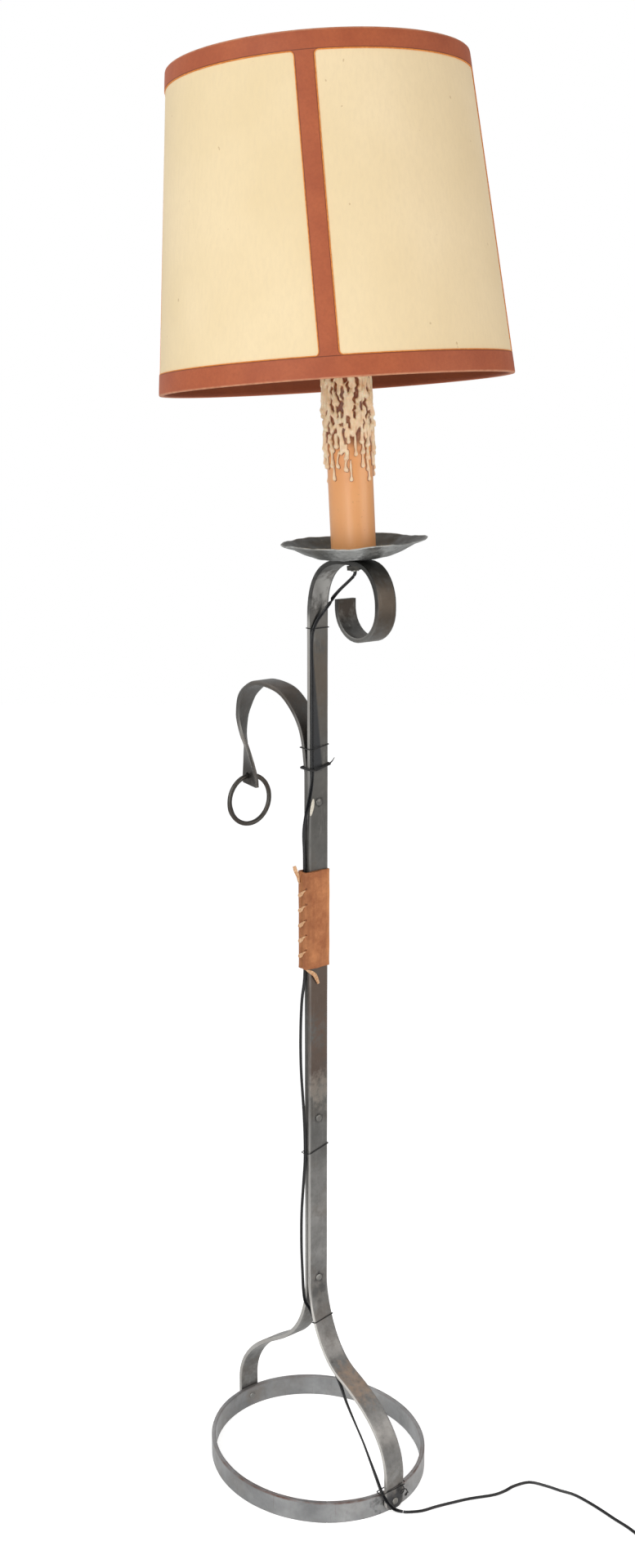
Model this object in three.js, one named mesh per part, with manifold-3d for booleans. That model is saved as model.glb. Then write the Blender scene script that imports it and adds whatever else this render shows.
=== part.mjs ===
// A wrought iron floor lamp: two flat bars riveted back to back, an oval ring foot, a hook with a
// hanging ring, a laced leather sleeve, a drip dish with a wax candle, and a drum shade.
// Millimetres, +Z up. The pole stands on the Z axis of the inner frame, the camera side is -Y.
import * as THREE from "three";
import { mergeVertices } from "three/addons/utils/BufferGeometryUtils.js";
import Module from "manifold-3d";

const wasm = await Module();
wasm.setup();

// Flat bar stock, and the clearances that every joint keeps
const stock_width = 30;
const stock_thickness = 6;
const edge_ease = 0.6;
const seam_gap = 0.3;
const overrun = 3;
const bar_plane_angle = 51;

// Oval ring foot, bent on the flat from the same stock
const ring_long_radius = 160.65;
const ring_short_radius = 145.35;
const foot_clearance = 5;
const foot_corner_radius = 10;
const foot_rivet_height = 16;

// Front bar: scroll, shoulder, pole and front leg
const seat_top = 1281;
const shoulder_reach = 66;
const shoulder_drop = 73;
const seat_length = 22;
const scroll_spread = 43;
const scroll_drop = 49;
const curl_straight = 7;
const curl_radius = 38;
const curl_end_length = 9;
const leg_top = 270;
const shoulder_shares = [[0.455, 1], [0, 0.78]];
const front_leg_shares = [
  [0, 1], [0.024, 0.822], [0.171, 0.637], [0.378, 0.587], [0.561, 0.544], [0.976, 0.452], [1, 0.204],
];
const back_leg_shares = [
  [0, 0.993], [0.011, 0.822], [0.131, 0.689], [0.353, 0.602], [0.544, 0.526], [0.962, 0.407], [1, 0.193],
];

// Hook at the top of the back bar, and the ring that hangs in it
const hook_top = 1104.5;
const hook_drop = 147.5;
const hook_reach = 156.7;
const hook_shares = [
  [0, 0.291], [0.046, 0.576], [0.119, 0.746], [0.25, 0.888], [0.394, 0.97], [0.598, 1], [0.757, 0.976],
  [0.917, 0.854], [0.987, 0.685], [1, 0.583], [0.984, 0.447], [0.951, 0.359], [0.92, 0.224],
  [0.904, 0.136], [0.885, 0],
];
const twist_from_share = 0.9;
const twist_to_share = 0.054;
const twist_reach_share = 0.8;
const tip_slant = 0.25;
const tip_hole_height = 13;
const tip_hole_radius = 4.3;
const ring_play = 0.5;
const hanging_ring_radius = 33.75;
const hanging_wire_radius = 3.25;

// Rivets
const rivet_radius = 3;
const rivet_head_radius = 5;
const rivet_head_height = 1.8;
const rivet_heights = [278.9, 517.5, 960.6];

// Leather sleeve and its lace
const sleeve_bottom = 735;
const sleeve_height = 133;
const leather_thickness = 2.3;
const sleeve_corner = 3.2;
const sleeve_seam = 1.2;
const lace_radius = 0.9;
const lace_hole_radius = 1.55;
const lace_row_offset = 4.3;
const lace_rows = 5;
const lace_first_share = 0.17;
const lace_last_share = 0.8;

// Flat twin cable
const cable_width = 5.4;
const cable_thickness = 3.2;

// Threaded rod and the nuts on it
const rod_seat_share = 0.25;
const rod_lean_left = 5.92;
const rod_lean_back = 0.23;
const rod_radius = 5;
const rod_bore_radius = 4;
const rod_hole_radius = 5.9;
const rod_below_seat = 14.5;
const rod_into_cap = 6;
const nut_across_flats = 17;
const arch_nut_thickness = 5.5;
const arch_nut_drop = 1.4;
const nut_thickness = 6;
const washer_radius = 12;
const washer_thickness = 1.5;

// Drip dish
const dish_lean_left = 2.8;
const dish_lean_back = 0.5;
const dish_radius = 85.5;
const dish_height = 19.6;
const dish_sheet = 1.5;
const dish_lift = 1.3;
const dish_wave = 1.4;
const dish_tip = 4.5;
const dish_profile_shares = [[0.42, 0], [0.5, 0.05], [0.62, 0.22], [0.76, 0.5], [0.9, 0.83], [1, 1]];

// Candle sleeve and its wax
const candle_radius = 27;
const candle_wall = 2;
const candle_length = 210;
const candle_lift = 3.1;
const candle_to_cap = 4.1;
const wax_skin = 1.3;
const wax_swell = 3.2;
const wax_depth = 70;
const wax_finger_length = 46;
const wax_shares = [
  [0.02, 0.9], [0.09, 0.35], [0.15, 0.7], [0.22, 0.25], [0.28, 0.95], [0.35, 0.5], [0.42, 0.8],
  [0.49, 0.3], [0.55, 1], [0.62, 0.55], [0.69, 0.85], [0.76, 0.4], [0.82, 0.98], [0.89, 0.6], [0.95, 0.3],
];
const wax_finger_width_share = 0.032;

// Lamp holder and bulb, on an axis of their own at the end of the rod
const holder_lean_left = 3.7;
const holder_lean_back = 2;
const holder_radius = 18.5;
const holder_wall = 1.8;
const holder_cap_height = 16;
const holder_shell_height = 41;
const insulator_thickness = 6;
const screw_radius = 13.4;
const screw_wall = 0.6;
const screw_height = 24;
const contact_radius = 3;
const contact_height = 2;
const bulb_cap_height = 24;
const bulb_radius = 30;
const bulb_glass_height = 81;
const bulb_profile_shares = [
  [0.42, 0], [0.44, 0.1], [0.6, 0.24], [0.86, 0.42], [1, 0.62], [0.93, 0.8], [0.7, 0.93], [0.36, 0.99],
];

// Shade, its trims and its carrier
const shade_drop = 7.3;
const shade_height = 364.7;
const shade_bottom_radius = 214;
const shade_top_radius = 177.4;
const shade_segments = 36;
const trim_thickness = 0.9;
const bottom_trim_height = 24;
const top_trim_height = 21;
const strip_width = 21;
const strip_count = 4;
const strip_turn = -93.6;
const strip_skew_low = 1.26;
const strip_skew_high = -1.43;
const panel_thickness = 1;
const shade_wire_radius = 1.5;
const hub_height = 35;
const hub_radius = 29;
const hub_thickness = 2;
const arm_radius = 1.75;
const arm_count = 3;
const arm_turn = 90;
const ring_nut_radius = 26;
const ring_nut_height = 7;

// The lead beyond the foot: switch, coil and plug
const lead_exit = [176, 6.3];
const coil_center = [562, -176.6];
const coil_inner_radius = 24.6;
const coil_turns = 7.5;
const coil_layers = 4;
const coil_pitch = 6;
const coil_rise = 3.8;
const coil_lift = 0.9;
const coil_steps = 24;
const coil_tie_width = 5;
const coil_tie_thickness = 0.6;
const plug_from_coil = 45;
const switch_inlet = [456, -212];
const switch_length = 60;
const switch_width = 26;
const switch_base_height = 7;
const switch_cover_height = 7.5;
const switch_wall = 1.8;
const switch_corner = 6;
const cord_entry = 8;
const rocker_length = 15;
const rocker_width = 10;
const rocker_rise = 6.2;
const rocker_tilt = 8;
const rocker_axle_radius = 1.4;
const rocker_axle_height = 9.6;
const plug_width = 26;
const plug_length = 35;
const plug_height = 13.7;
const plug_pin_radius = 2;
const plug_pin_length = 19;
const plug_pin_spacing = 19;
const relief_length = 22;
const relief_radius = 4.6;

// Values worked out from the sizes above
const degrees = Math.PI / 180;
const half_width = stock_width / 2;
const half_thickness = stock_thickness / 2;
const back_line = -(stock_thickness + seam_gap);
const plate_line = ring_long_radius + seam_gap + half_thickness;
const seat_line = seat_top - half_thickness;
const rod_place = shoulder_reach + seat_length * rod_seat_share;
const rod_reach = candle_lift + candle_length + candle_to_cap;
const arch_nut_foot = -(stock_thickness + arch_nut_drop + arch_nut_thickness);
const tip_hole_z = hook_top - hook_drop + tip_hole_height;
const tip_line = back_line - hook_reach * 0.907;
const wire_line_z = tip_hole_z - tip_hole_radius + ring_play + hanging_wire_radius;
const cable_offset = seam_gap + cable_thickness / 2;
const cord_floor = cable_thickness / 2 + seam_gap / 3;
const shade_slope = (shade_top_radius - shade_bottom_radius) / shade_height;

// Colours and finishes
const finish = (color, roughness, metalness) =>
  new THREE.MeshStandardMaterial({ color, roughness, metalness });
const iron = finish(0x55554f, 0.45, 0.9);
const iron_ring = finish(0x6d7072, 0.42, 0.9);
const leather = finish(0xb06a40, 0.75, 0);
const thong = finish(0xd9a06a, 0.8, 0);
const black_cord = finish(0x17181c, 0.6, 0);
const steel = finish(0x8a8a86, 0.4, 1);
const brass = finish(0xb08d4a, 0.35, 1);
const candle_card = finish(0xd9a071, 0.6, 0);
const wax = finish(0xe6c79c, 0.5, 0);
const black_plastic = finish(0x1c1c1e, 0.5, 0);
const porcelain = finish(0xe8e4da, 0.3, 0);
const glass = finish(0xf2f0ea, 0.3, 0);
const parchment = finish(0xf3e2bd, 0.85, 0);
const trim_leather = finish(0xae5a3c, 0.7, 0);
const painted_wire = finish(0xe8e6e0, 0.5, 0.3);

// Plain geometry: positions only, with shared corners merged
function bare(geometry) {
  const plain = geometry.clone();
  plain.deleteAttribute("normal");
  plain.deleteAttribute("uv");
  return mergeVertices(plain, 1e-4);
}

function solid_of(geometry) {
  const plain = bare(geometry);
  return new wasm.Manifold(
    new wasm.Mesh({
      numProp: 3,
      vertProperties: new Float32Array(plain.attributes.position.array),
      triVerts: new Uint32Array(plain.index.array),
    }),
  );
}

function geometry_of(solid) {
  const mesh = solid.getMesh();
  const stride = mesh.numProp;
  const positions = new Float32Array(mesh.numVert * 3);
  for (let i = 0; i < mesh.numVert; i += 1) {
    positions.set(mesh.vertProperties.subarray(i * stride, i * stride + 3), i * 3);
  }
  const geometry = new THREE.BufferGeometry();
  geometry.setAttribute("position", new THREE.BufferAttribute(positions, 3));
  geometry.setIndex(new THREE.BufferAttribute(new Uint32Array(mesh.triVerts), 1));
  return geometry;
}

function cut(body, ...tools) {
  return geometry_of(tools.reduce((rest, tool) => rest.subtract(solid_of(tool)), solid_of(body)));
}

function joined(...bodies) {
  return geometry_of(bodies.map(solid_of).reduce((whole, body) => whole.add(body)));
}

// A closed solid through rings of points; each ring has as many points as the last
function skin(rings, closed = false) {
  const sides = rings[0].length;
  const spans = closed ? rings.length : rings.length - 1;
  const faces = [];
  for (let i = 0; i < spans; i += 1) {
    const here = i * sides;
    const next = ((i + 1) % rings.length) * sides;
    for (let j = 0; j < sides; j += 1) {
      const k = (j + 1) % sides;
      faces.push(here + j, here + k, next + k, here + j, next + k, next + j);
    }
  }
  if (!closed) {
    const last = (rings.length - 1) * sides;
    for (let j = 1; j < sides - 1; j += 1) {
      faces.push(0, j + 1, j, last, last + j, last + j + 1);
    }
  }
  const points = rings.flat();
  const geometry = new THREE.BufferGeometry().setFromPoints(points);
  geometry.setIndex(volume_of(points, faces) < 0 ? faces.reverse() : faces);
  return geometry;
}

function volume_of(points, faces) {
  let total = 0;
  for (let i = 0; i < faces.length; i += 3) {
    const [a, b, c] = [points[faces[i]], points[faces[i + 1]], points[faces[i + 2]]];
    total += a.dot(b.clone().cross(c)) / 6;
  }
  return total;
}

// A band swept along stations, each with its place, the direction across the band and its sizes
function band(stations, section, closed = false) {
  const count = stations.length;
  const rings = stations.map((station, i) => {
    const before = closed ? stations[(i + count - 1) % count] : stations[Math.max(i - 1, 0)];
    const after = closed ? stations[(i + 1) % count] : stations[Math.min(i + 1, count - 1)];
    const along = after.at.clone().sub(before.at).normalize();
    const across = station.across.clone();
    across.addScaledVector(along, -across.dot(along)).normalize();
    const facing = along.clone().cross(across);
    return section(station).map(([x, y]) =>
      station.at
        .clone()
        .addScaledVector(across, x)
        .addScaledVector(facing, y)
        .addScaledVector(along, x * (station.slant ?? 0)),
    );
  });
  return skin(rings, closed);
}

// Section of the flat bar, with its edges eased; a foot's corners narrow it
function bar_section({ half = half_width }) {
  const x = half;
  const y = half_thickness;
  const e = edge_ease;
  return [
    [x, y - e], [x - e, y], [e - x, y], [-x, y - e],
    [-x, e - y], [e - x, -y], [x - e, -y], [x, e - y],
  ];
}

// Section of the flat twin cable, with round edges
function cable_section() {
  const x = cable_width / 2;
  const y = cable_thickness / 2;
  const straight = x - y;
  return [[x, 0], [straight, y], [-straight, y], [-x, 0], [-straight, -y], [straight, -y]];
}

function round_section(radius, sides) {
  return () =>
    Array.from({ length: sides }, (_, i) => {
      const turn = (i * 2 * Math.PI) / sides;
      return [radius * Math.cos(turn), radius * Math.sin(turn)];
    });
}

// A round wire along a curve, closed at both ends
function wire(points, radius, steps, sides = 6) {
  const circle = new THREE.Shape().absarc(0, 0, radius, 0, 2 * Math.PI);
  const outline = new THREE.Shape(circle.getPoints(sides / 2).slice(0, sides));
  const curve = new THREE.CatmullRomCurve3(points);
  return new THREE.ExtrudeGeometry(outline, { steps, extrudePath: curve, bevelEnabled: false });
}

// A cylinder between two points, as a pin or as a drill
function rod_between(from, to, radius, sides = 12) {
  const run = to.clone().sub(from);
  const geometry = new THREE.CylinderGeometry(radius, radius, run.length(), sides);
  const along = run.clone().normalize();
  const turn = new THREE.Quaternion().setFromUnitVectors(new THREE.Vector3(0, 1, 0), along);
  geometry.applyQuaternion(turn);
  const middle = from.clone().lerp(to, 0.5);
  return geometry.translate(middle.x, middle.y, middle.z);
}

function block(size, center) {
  return new THREE.BoxGeometry(...size).translate(...center);
}

// A closed profile of [radius, height] pairs turned about Z
function turned(profile, sides) {
  const points = profile.map(([r, z]) => new THREE.Vector2(r, z));
  const on_axis = profile[0][0] === 0;
  if (!on_axis) points.push(points[0].clone());
  const geometry = new THREE.LatheGeometry(points, sides);
  return geometry.rotateX(Math.PI / 2);
}

const at = (x, y, z) => new THREE.Vector3(x, y, z);
const across_bars = at(0, 1, 0);

function piece(name, geometry, material) {
  const mesh = new THREE.Mesh(geometry, material);
  mesh.name = name;
  return mesh;
}

// Stations of a foot's rounded bottom corners, from the plate down to its lower edge
function foot_stations(line) {
  const steps = 4;
  return Array.from({ length: steps }, (_, i) => {
    const rise = foot_corner_radius * (1 - Math.sin(((i + 1) * Math.PI) / 2 / steps));
    const inset = foot_corner_radius - Math.sqrt(foot_corner_radius ** 2 - (foot_corner_radius - rise) ** 2);
    return { at: at(line, 0, foot_clearance + rise), across: across_bars, half: half_width - inset };
  });
}

// Centre line of the front bar in the plane of the bars: cut end, curl, scroll, seat, pole and leg
function front_line() {
  const leg = ([x, y]) => [x * plate_line, y * leg_top];
  const shoulder = ([x, y]) => [x * shoulder_reach, seat_line - shoulder_drop + y * shoulder_drop];
  const curl_left = shoulder_reach + seat_length + scroll_spread - 2 * curl_radius;
  const crown_line = seat_line - scroll_drop;
  const curl_line = crown_line - curl_straight;
  const path = new THREE.Path();
  path.moveTo(curl_left, curl_line + curl_end_length);
  path.lineTo(curl_left, curl_line);
  path.absarc(curl_left + curl_radius, curl_line, curl_radius, Math.PI, 2 * Math.PI, false);
  path.lineTo(curl_left + 2 * curl_radius, crown_line);
  path.absellipse(shoulder_reach + seat_length, crown_line, scroll_spread, scroll_drop, 0, Math.PI / 2);
  path.lineTo(shoulder_reach, seat_line);
  path.bezierCurveTo(...shoulder(shoulder_shares[0]), ...shoulder(shoulder_shares[1]), 0, seat_line - shoulder_drop);
  path.lineTo(...leg(front_leg_shares[0]));
  path.bezierCurveTo(...front_leg_shares.slice(1, 4).map(leg).flat());
  path.bezierCurveTo(...front_leg_shares.slice(4, 7).map(leg).flat());
  path.lineTo(plate_line, foot_clearance + foot_corner_radius);
  return path.getPoints(8);
}

// Centre line of the back leg, from the pole down to its plate
function back_leg_line() {
  const leg = ([x, y]) => [back_line - x * (plate_line + back_line), y * leg_top];
  const path = new THREE.Path();
  path.moveTo(...leg(back_leg_shares[0]));
  path.bezierCurveTo(...back_leg_shares.slice(1, 4).map(leg).flat());
  path.bezierCurveTo(...back_leg_shares.slice(4, 7).map(leg).flat());
  path.lineTo(-plate_line, foot_clearance + foot_corner_radius);
  return path.getPoints(8);
}

// Stations of the hook; the bar turns a quarter round as it comes down on the far side
function hook_stations() {
  const low = hook_top - hook_drop;
  const points = hook_shares.map(
    ([x, y]) => new THREE.Vector2(back_line - x * hook_reach, low + y * hook_drop),
  );
  const spaced = new THREE.SplineCurve(points).getSpacedPoints(38);
  return spaced.map((point, i) => {
    const height_share = (point.y - low) / hook_drop;
    const coming_down = back_line - point.x > hook_reach * twist_reach_share;
    const turned_share = coming_down
      ? THREE.MathUtils.clamp((twist_from_share - height_share) / (twist_from_share - twist_to_share), 0, 1)
      : 0;
    const turn = (turned_share * Math.PI) / 2;
    return {
      at: at(point.x, 0, point.y),
      across: at(-Math.sin(turn), Math.cos(turn), 0),
      slant: i === spaced.length - 1 ? -tip_slant : 0,
    };
  });
}

function pole_bar() {
  const stations = front_line().map((point) => ({ at: at(point.x, 0, point.y), across: across_bars }));
  const bar = band([...stations, ...foot_stations(plate_line)], bar_section);
  const rod_hole = rod_between(
    at(rod_place, 0, seat_top + overrun),
    at(rod_place, 0, seat_top - stock_thickness - overrun),
    rod_hole_radius,
    16,
  );
  return cut(bar, rod_hole, ...rivet_drills(), foot_drill(1));
}

function back_bar() {
  const leg = back_leg_line().map((point) => ({ at: at(point.x, 0, point.y), across: across_bars }));
  const stations = [...foot_stations(-plate_line).reverse(), ...leg.reverse(), ...hook_stations()];
  const tip_hole = rod_between(
    at(tip_line, -stock_thickness, tip_hole_z),
    at(tip_line, stock_thickness, tip_hole_z),
    tip_hole_radius,
  );
  return cut(band(stations, bar_section), tip_hole, ...rivet_drills(), foot_drill(-1));
}

const rivet_hole_radius = rivet_radius + seam_gap;
const pole_front = half_thickness;
const pole_back = back_line - half_thickness;

function rivet_drills() {
  return rivet_heights.map((z) =>
    rod_between(at(pole_front + overrun, 0, z), at(pole_back - overrun, 0, z), rivet_hole_radius),
  );
}

function foot_drill(side) {
  const inside = ring_long_radius - stock_thickness - overrun;
  const outside = plate_line + half_thickness + overrun;
  return rod_between(
    at(side * inside, 0, foot_rivet_height),
    at(side * outside, 0, foot_rivet_height),
    rivet_hole_radius,
  );
}

// A rivet with a low domed head at both ends, along the X axis of the bars
function rivet(from, to, z) {
  const low = from - seam_gap;
  const high = to + seam_gap;
  const dome_steps = 2;
  const dome = Array.from({ length: dome_steps + 1 }, (_, i) => {
    const turn = (i * Math.PI) / 2 / dome_steps;
    return [rivet_head_radius * Math.sin(turn), rivet_head_height * Math.cos(turn)];
  });
  const profile = [
    ...dome.map(([r, h]) => [r, low - h]),
    [rivet_radius, low],
    [rivet_radius, high],
    ...dome.map(([r, h]) => [r, high + h]).reverse(),
  ];
  profile[0][0] = 0;
  profile[profile.length - 1][0] = 0;
  const turned_rivet = turned(profile, 12);
  return turned_rivet.rotateY(Math.PI / 2).translate(0, 0, z);
}

function base_ring() {
  const shape = new THREE.Shape().absellipse(0, 0, ring_long_radius, ring_short_radius, 0, 2 * Math.PI);
  const hole = new THREE.Path().absellipse(
    0,
    0,
    ring_long_radius - stock_thickness,
    ring_short_radius - stock_thickness,
    0,
    2 * Math.PI,
  );
  shape.holes.push(hole);
  const flat = { depth: stock_width, bevelEnabled: false, curveSegments: 32 };
  const ring = new THREE.ExtrudeGeometry(shape, flat);
  return cut(ring, foot_drill(1), foot_drill(-1));
}

function hanging_ring() {
  const torus = new THREE.TorusGeometry(hanging_ring_radius, hanging_wire_radius, 8, 32);
  torus.rotateX(Math.PI / 2).rotateZ(Math.PI / 2);
  return torus.translate(tip_line, 0, wire_line_z - hanging_ring_radius);
}

// Where the cable runs beside the near edge of the bars, and the space that the sleeve holds
const cable_edge = -(half_width + 2 * seam_gap + cable_thickness / 2);
const cable_edge_line = (pole_front + pole_back) / 2 - half_thickness;
const sleeve_low = pole_back - seam_gap;
const sleeve_high = pole_front + seam_gap;
const sleeve_near = cable_edge - cable_thickness / 2 - 4 * seam_gap - 2 * lace_radius;
const sleeve_far = half_width + seam_gap;
const seam_line = (sleeve_low + sleeve_high) / 2;

function rounded(low_x, high_x, low_y, high_y, radius) {
  const shape = new THREE.Shape();
  shape.absarc(high_x - radius, high_y - radius, radius, 0, Math.PI / 2);
  shape.absarc(low_x + radius, high_y - radius, radius, Math.PI / 2, Math.PI);
  shape.absarc(low_x + radius, low_y + radius, radius, Math.PI, 1.5 * Math.PI);
  shape.absarc(high_x - radius, low_y + radius, radius, 1.5 * Math.PI, 2 * Math.PI);
  return shape;
}

function lace_heights() {
  const span = lace_last_share - lace_first_share;
  return Array.from({ length: lace_rows }, (_, i) => {
    const share = lace_last_share - (span * i) / (lace_rows - 1);
    return sleeve_bottom + share * sleeve_height;
  });
}

function leather_sleeve() {
  const t = leather_thickness;
  const inner_corner = sleeve_corner - t;
  const shape = rounded(sleeve_low - t, sleeve_high + t, sleeve_near - t, sleeve_far + t, sleeve_corner);
  shape.holes.push(rounded(sleeve_low, sleeve_high, sleeve_near, sleeve_far, inner_corner));
  const flat = { depth: sleeve_height, bevelEnabled: false, curveSegments: 2 };
  const body = new THREE.ExtrudeGeometry(shape, flat);
  body.translate(0, 0, sleeve_bottom);
  const slit = block(
    [sleeve_seam, t + 2 * seam_gap, sleeve_height + overrun],
    [seam_line, sleeve_near - t / 2, sleeve_bottom + sleeve_height / 2],
  );
  const holes = lace_heights().flatMap((z) =>
    [-1, 1].map((side) => {
      const s = seam_line + side * lace_row_offset;
      return rod_between(
        at(s, sleeve_near - t - seam_gap, z),
        at(s, sleeve_near + seam_gap, z),
        lace_hole_radius,
        8,
      );
    }),
  );
  return cut(body, slit, ...holes);
}

// The thong goes over the seam outside on a slant, and straight across under it inside
function sleeve_lace() {
  const inside = sleeve_near + seam_gap + lace_radius;
  const outside = sleeve_near - leather_thickness - seam_gap - lace_radius;
  const back_row = seam_line - lace_row_offset;
  const front_row = seam_line + lace_row_offset;
  const first = lace_heights()[0];
  const last = lace_heights()[lace_rows - 1];
  const top_tail = [
    at(back_row - lace_row_offset, outside - lace_row_offset, sleeve_bottom + sleeve_height + 2 * lace_row_offset),
    at(back_row - lace_radius, outside - lace_row_offset, sleeve_bottom + sleeve_height),
    at(back_row, outside - lace_radius, first + lace_row_offset),
  ];
  const stitches = lace_heights().flatMap((z) => [
    at(back_row, outside, z + lace_radius),
    at(back_row, inside, z),
    at(front_row, inside, z),
    at(front_row, outside, z - lace_radius),
  ]);
  const front_face = sleeve_high + leather_thickness + seam_gap + lace_radius;
  const bottom_tail = [
    at(front_face - lace_radius, outside + lace_radius, last - 2 * lace_row_offset),
    at(front_face + lace_radius, sleeve_near + lace_row_offset, sleeve_bottom),
    at(front_face, -half_width + 2 * lace_row_offset, sleeve_bottom - 2 * lace_row_offset),
  ];
  return wire([...top_tail, ...stitches, ...bottom_tail], lace_radius, 76);
}

// Which way three places turn: positive to the left
const turning = ([ax, ay], [bx, by], [cx, cy]) => (bx - ax) * (cy - ay) - (by - ay) * (cx - ax);

// The outermost of some places, in turn
function outline_of(places) {
  const sorted = [...places].sort((a, b) => a[0] - b[0] || a[1] - b[1]);
  const side = (list) => {
    const chain = [];
    for (const place of list) {
      while (chain.length > 1 && turning(chain.at(-2), chain.at(-1), place) <= 0) chain.pop();
      chain.push(place);
    }
    return chain.slice(0, -1);
  };
  return [...side(sorted), ...side([...sorted].reverse())];
}

// A closed line round some places at a distance, rounded where it turns
function around(places, reach) {
  const outline = outline_of(places);
  const count = outline.length;
  const facing = ([ax, ay], [bx, by]) => Math.atan2(ax - bx, by - ay);
  return outline.flatMap((corner, i) => {
    const from = facing(outline[(i + count - 1) % count], corner);
    const to = facing(corner, outline[(i + 1) % count]);
    const sweep = THREE.MathUtils.euclideanModulo(to - from, 2 * Math.PI);
    const steps = Math.ceil(sweep / (Math.PI / 4));
    return Array.from({ length: steps + 1 }, (_, k) => {
      const turn = from + (sweep * k) / steps;
      return [corner[0] + reach * Math.cos(turn), corner[1] + reach * Math.sin(turn)];
    });
  });
}

const front_corners = [
  [-half_thickness, -half_width], [half_thickness, -half_width],
  [half_thickness, half_width], [-half_thickness, half_width],
];
const back_corners = front_corners.map(([x, y]) => [x + back_line, y]);

function cable_corners(s, w, flat_to_front) {
  const spare = 2 * seam_gap;
  const [x, y] = flat_to_front
    ? [cable_thickness + spare, cable_width + spare]
    : [cable_width + spare, cable_thickness + spare];
  return [[-1, -1], [1, -1], [1, 1], [-1, 1]].map(([i, j]) => [s + (i * x) / 2, w + (j * y) / 2]);
}

// A tie wound once round what it holds, closed on itself; its height follows the slope across
function tie(corners, height, slope, radius) {
  const stations = around(corners, seam_gap + radius).map(([x, y]) => ({
    at: at(x, y, height + slope * y),
    across: at(0, 0, 1),
  }));
  return band(stations, round_section(radius, 6), true);
}

const thread_radius = 0.6;
const band_radius = 1.5;
const cable_on_face = half_thickness + cable_offset;
const face_side = -12.3;
const top_thread_height = 1186;
const hook_wire_height = 1034;
const black_tie_height = 1008;
const low_thread_height = 473;
const leg_wire_height = 220;
const foot_wire_height = 38;
const wire_curl_radius = 5;
const hook_parting_share = 0.045;
const tie_parting_share = 0.02;
const tie_slope = 0.12;

// The back bar's corners where the hook has begun to leave the pole
function parting_corners(share) {
  const s = back_line - half_thickness - hook_reach * share;
  return [[s, -half_width], [s, half_width]];
}

// How far the hook bar has left the pole at a height, as a share of its reach; above its arch there is no bar
function parted_share(height) {
  const rise = (height - (hook_top - hook_drop)) / hook_drop;
  const above = hook_shares.findIndex(([, y]) => y > rise);
  if (above < 0) return Infinity;
  if (above === 0) return 0;
  const [[x, y], [next_x, next_y]] = [hook_shares[above - 1], hook_shares[above]];
  return x + ((next_x - x) * (rise - y)) / (next_y - y);
}

// A thread goes round both bars up to where it fits between them
function threaded_corners(height) {
  const share = parted_share(height);
  if (share * hook_reach > 2 * (thread_radius + seam_gap)) return front_corners;
  const both = [...front_corners, ...back_corners];
  return share > 0 ? [...both, ...parting_corners(share)] : both;
}

function top_thread() {
  const corners = [
    ...threaded_corners(top_thread_height),
    ...cable_corners(cable_on_face, face_side, true),
    ...cable_corners(cable_on_face, face_side * 0.75, true),
  ];
  return tie(corners, top_thread_height, tie_slope / 2, thread_radius);
}

function hook_wire() {
  const cable = cable_corners(cable_on_face, face_side, true);
  const corners = [...front_corners, ...back_corners, ...parting_corners(hook_parting_share), ...cable];
  return tie(corners, hook_wire_height, tie_slope, thread_radius);
}

// Thick black tie; one end stands out at the far side
function black_tie() {
  const cable = cable_corners(cable_on_face, face_side, true);
  const corners = [...front_corners, ...back_corners, ...parting_corners(tie_parting_share), ...cable];
  const loop = tie(corners, black_tie_height, tie_slope, band_radius);
  const reach = seam_gap + band_radius;
  const start = at(half_thickness, half_width + reach, black_tie_height + tie_slope * half_width);
  const tail = wire(
    [start, start.clone().add(at(reach, reach, reach)), start.clone().add(at(reach, 2 * reach, 4 * reach))],
    band_radius * 0.8,
    4,
  );
  return joined(loop, tail);
}

function low_thread() {
  const corners = [...front_corners, ...back_corners, ...cable_corners(cable_edge_line, cable_edge, false)];
  return tie(corners, low_thread_height, 2 * tie_slope, thread_radius);
}

// Direction and place of the front bar's centre line at a height on its leg
function front_place(z) {
  const line = front_line();
  const passes = (point, i) => i > 0 && point.y <= z && line[i - 1].y > z && point.x < plate_line;
  const index = line.findIndex(passes);
  const [a, b] = [line[index - 1], line[index]];
  const share = (a.y - z) / (a.y - b.y);
  return { place: a.clone().lerp(b, share), run: b.clone().sub(a).normalize() };
}

// A loop square to the front leg, round the bar alone
function leg_wire() {
  const { place, run } = front_place(leg_wire_height);
  const stations = around(front_corners, 2 * seam_gap + thread_radius).map(([x, y]) => {
    const slide = y * tie_slope;
    return {
      at: at(place.x - x * run.y - slide * run.x, y, place.y + x * run.x - slide * run.y),
      across: at(run.x, 0, run.y),
    };
  });
  return band(stations, round_section(thread_radius, 6), true);
}

// The wire at the front foot goes round the plate and the cable above the ring, and ends in a curl
function foot_wire() {
  const height = foot_wire_height;
  const corners = front_corners.map(([x, y]) => [x + plate_line, y]);
  corners.push(...cable_corners(plate_line - cable_thickness, -half_width - cable_width, true));
  corners.push(...cable_corners(plate_line, -half_width - cable_width, true));
  const loop = tie(corners, height, tie_slope, thread_radius);
  const face = plate_line + half_thickness + seam_gap + thread_radius;
  const curl = curl_points(face, half_width * 0.4, height + tie_slope * half_width * 0.4);
  return joined(loop, wire(curl, thread_radius, 14));
}

function curl_points(s, w, z) {
  const turns = 1.6;
  const steps = 12;
  return Array.from({ length: steps + 1 }, (_, i) => {
    const turn = (i / steps) * turns * 2 * Math.PI;
    const reach = wire_curl_radius * (1 - (0.45 * i) / steps);
    return at(s + 0.9 * i * thread_radius, w + reach * Math.sin(turn), z - wire_curl_radius + reach * Math.cos(turn));
  });
}

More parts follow.
